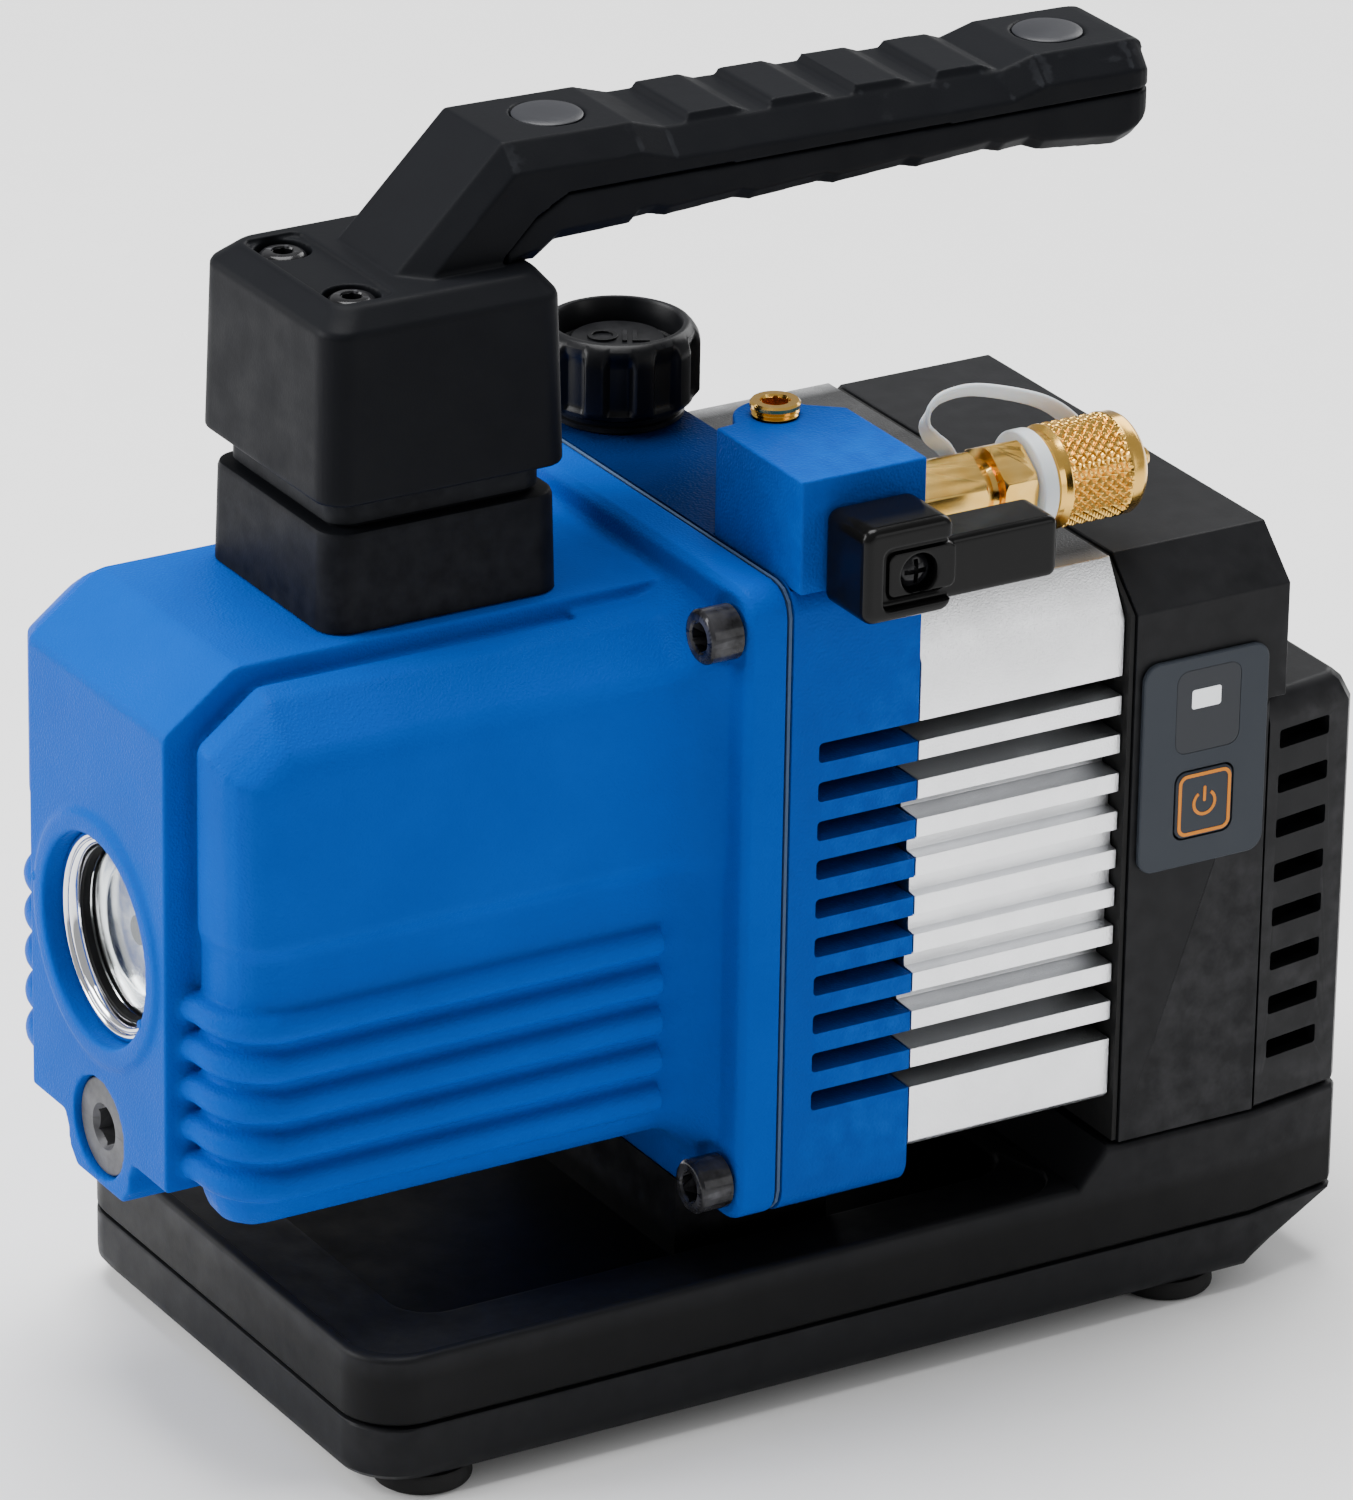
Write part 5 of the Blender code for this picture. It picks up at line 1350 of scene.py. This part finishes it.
def make_handle():
    x, y0, y1 = 22.8, 33.6, 80.8
    head = loft("handle_moulding", [
        (177.0, rounded(-x - 1.4, x + 1.4, y0 - 0.6, y1, 5.0, 8)),
        (177.5, rounded(-x - 1.7, x + 1.7, y0 - 0.9, y1 + 0.3, 5.2, 8)),
        (207.6, rounded(-x - 1.0, x + 1.0, y0 - 0.2, y1 - 0.6, 5.2, 8)),
        (208.4, rounded(-x - 0.6, x + 0.6, y0 + 0.2, y1 - 0.9, 5.0, 8)),
        (211.5, rounded(-x + 2.7, x - 2.7, y0 + 3.6, y1 - 3.2, 4.6, 8)),
        (211.8, rounded(-x + 3.4, x - 3.4, y0 + 4.3, y1 - 3.8, 4.4, 8)),
    ])
    stations = [53.0, 60.0, 68.0, 73.4, 74.5, 75.6, 78.5, 82.0, 85.4, 90.0, 100.0, 103.5, 107.0]
    for i in range(4):
        start = 112.4 + 17.0 * i
        stations += [start - 1.2, start, start + 8.6, start + 12.4]
    stations += [176.0, 183.0, 190.0, 198.0, 201.4, 203.0, 204.4, 205.4, 206.0, GRIP_END]
    rings = []
    for y in sorted(stations):
        end = max(0.0, y - (GRIP_END - 3.0)) / 3.0
        drop = 2.2 * (1 - math.sqrt(max(1 - end * end, 0.0)))
        low = max(parting(y), 206.0)
        rings.append(arm_ring(y, low, grip_top(y) - drop))
    arm = skin("arm", rings)
    join(head, arm)
    cut(head,
        prism("panel", rounded(-17.6, 17.6, 38.4, 49.6, 2.0), "Z", 210.9, 216.0),
        turned("disc_seat_f", [(0, 231.4), (6.7, 231.4), (6.9, 236.0), (0, 236.0)], "Z", (0, 89.2, 0), 48),
        turned("disc_seat_r", [(0, 229.7), (6.7, 229.7), (6.9, 236.0), (0, 236.0)], "Z", (0, 192.3, 0), 48),
        turned("screw_well_l", rod(5.1, 206.6, 216.0), "Z", (-HANDLE_SCREW_X, HANDLE_SCREW_Y, 0), 40),
        turned("screw_well_r", rod(5.1, 206.6, 216.0), "Z", (HANDLE_SCREW_X, HANDLE_SCREW_Y, 0), 40))
    soften(head, 0.4, 1, 0.3)
    place(head, "housing", "handle", "handle_plastic", "handle_head", sharp=60, weighted=False)

    stations = [73.4, 75.0, 78.5, 79.6, 81.0, 83.7, 85.4, 90.0, 96.0, 98.9, 99.2, 102.8]
    for i in range(5):
        stations += [102.8 + 17.2 * i + step for step in (0.01, 1.5, 3.1, 8.0, 13.0, 17.19)]
    stations += [183.0, 188.0, 194.0, 199.0, 201.4, 203.0, 204.4, 205.4, 206.0, GRIP_END]
    rings = []
    for y in sorted(stations):
        high = parting(y) - 0.45
        low = underside(y)
        end = max(0.0, y - (GRIP_END - 5.0)) / 5.0
        pinch = 4.2 * (1 - math.sqrt(max(1 - end * end, 0.0)))
        w = GRIP_HALF_W - 0.1 - pinch
        low = min(low + pinch * 0.6, high - 0.8)
        cham = min(2.6, (high - low) * 0.4)
        lip = w - 1.6
        points = [(-w, high), (-w, low + cham), (-w + cham, low), (w - cham, low), (w, low + cham), (w, high)]
        points += [(lip, high), (lip, high + 1.2), (-lip, high + 1.2), (-lip, high)]
        rings.append([Vector((a, y, b)) for a, b in points])
    lower = skin("grip_under_moulding", rings)
    soften(lower, 0.4, 1, 0.3)
    place(lower, "housing", "handle", "handle_plastic", "grip_lower", sharp=60, weighted=False)

    for name, y, z in (("front", 89.2, 232.1), ("rear", 192.3, 230.35)):
        profile = [(0, z - 1.4), (6.35, z - 1.4), (6.35, z + 0.1), (6.1, z + 0.35)]
        profile += [(5.0, z + 0.55), (3.5, z + 0.7), (1.8, z + 0.78), (0, z + 0.8)]
        disc = turned("grip_disc_" + name, profile, "Z", (0, y, 0), 64)
        place(disc, "housing", "grip_disc", "handle_plastic", sharp=40)

    for name, x in (("l", -HANDLE_SCREW_X), ("r", HANDLE_SCREW_X)):
        at = (x, HANDLE_SCREW_Y, 0)
        profile = [(0, 206.9), (4.0, 206.9), (4.4, 207.3), (4.4, 209.4), (4.1, 210.1)]
        profile += [(3.5, 210.6), (2.9, 210.8), (0, 210.8)]
        screw = turned("handle_fastener_" + name, profile, "Z", at, 64)
        cut(screw, hex_socket("socket", "Z", at, 3.4, 208.9, 214.0),
            turned("mouth", [(0, 210.4), (1.9, 210.5), (2.5, 211.6), (0, 211.6)], "Z", at, 40))
        place(screw, "housing", "oxide", "black_oxide", "handle_screw_" + name, sharp=30)


# ------------------------------------------------------------------ stage


CAMERA_AT = (1345.3, -689.7, 791.9)
CAMERA_AZIMUTH = 59.032
CAMERA_ELEVATION = 23.625
CAMERA_ROLL = 0.984
CAMERA_LENS = 227.98

# Each lamp: name, offset from the pump in metres, width in metres, power in watts.
LAMPS = (
    ("key", (-0.75, -1.35, 0.75), 1.0, 38.0),
    ("top", (-0.25, 0.05, 1.45), 1.0, 38.0),
    ("side", (1.5, 0.95, 0.45), 0.9, 5.0),
    ("rear", (-0.6, 1.3, 0.8), 0.9, 12.0),
)


def make_stage():
    azimuth = math.radians(CAMERA_AZIMUTH)
    elevation = math.radians(CAMERA_ELEVATION)
    roll = math.radians(CAMERA_ROLL)
    level = math.cos(elevation)
    back = Vector((math.sin(azimuth) * level, -math.cos(azimuth) * level, math.sin(elevation)))
    right = Vector((math.cos(azimuth), math.sin(azimuth), 0.0))
    up = back.cross(right)
    turned_right = right * math.cos(roll) + up * math.sin(roll)
    turned_up = up * math.cos(roll) - right * math.sin(roll)
    camera_data = bpy.data.cameras.new("camera")
    camera_data.sensor_width = 36.0
    camera_data.lens = CAMERA_LENS
    camera = bpy.data.objects.new("camera", camera_data)
    bpy.context.scene.collection.objects.link(camera)
    matrix = Matrix((turned_right, turned_up, back)).transposed().to_4x4()
    matrix.translation = TO_ROW @ Vector(CAMERA_AT)
    camera.matrix_world = matrix
    bpy.context.scene.camera = camera

    bm = bmesh.new()
    bmesh.ops.create_grid(bm, x_segments=2, y_segments=2, size=6.0)
    mesh = bpy.data.meshes.new("floor")
    bm.to_mesh(mesh)
    bm.free()
    floor = bpy.data.objects.new("floor", mesh)
    bpy.context.scene.collection.objects.link(floor)
    mesh.materials.append(surface("pale_floor", (0.90, 0.90, 0.90), 0.85, vary=0.01))

    world = bpy.data.worlds.new("studio")
    world.use_nodes = True
    world.node_tree.nodes["Background"].inputs["Color"].default_value = (1.0, 1.0, 1.0, 1.0)
    world.node_tree.nodes["Background"].inputs["Strength"].default_value = 0.45
    bpy.context.scene.world = world

    target = TO_ROW @ Vector((0.0, 115.0, 100.0))
    for name, offset, size, power in LAMPS:
        data = bpy.data.lights.new(name, "AREA")
        data.shape = "SQUARE"
        data.size = size
        data.energy = power
        lamp = bpy.data.objects.new(name, data)
        bpy.context.scene.collection.objects.link(lamp)
        lamp.location = target + Vector(offset)
        lamp.rotation_euler = (-Vector(offset)).to_track_quat("-Z", "Y").to_euler()


make_base()
make_tank()
make_sight_glass()
make_drain()
make_tank_bolts()
make_block()
make_motor()
make_housing()
make_battery()
make_label()
make_inlet()
make_lever()
make_fitting()
make_strap()
make_filler()
make_post()
make_handle()
make_stage()
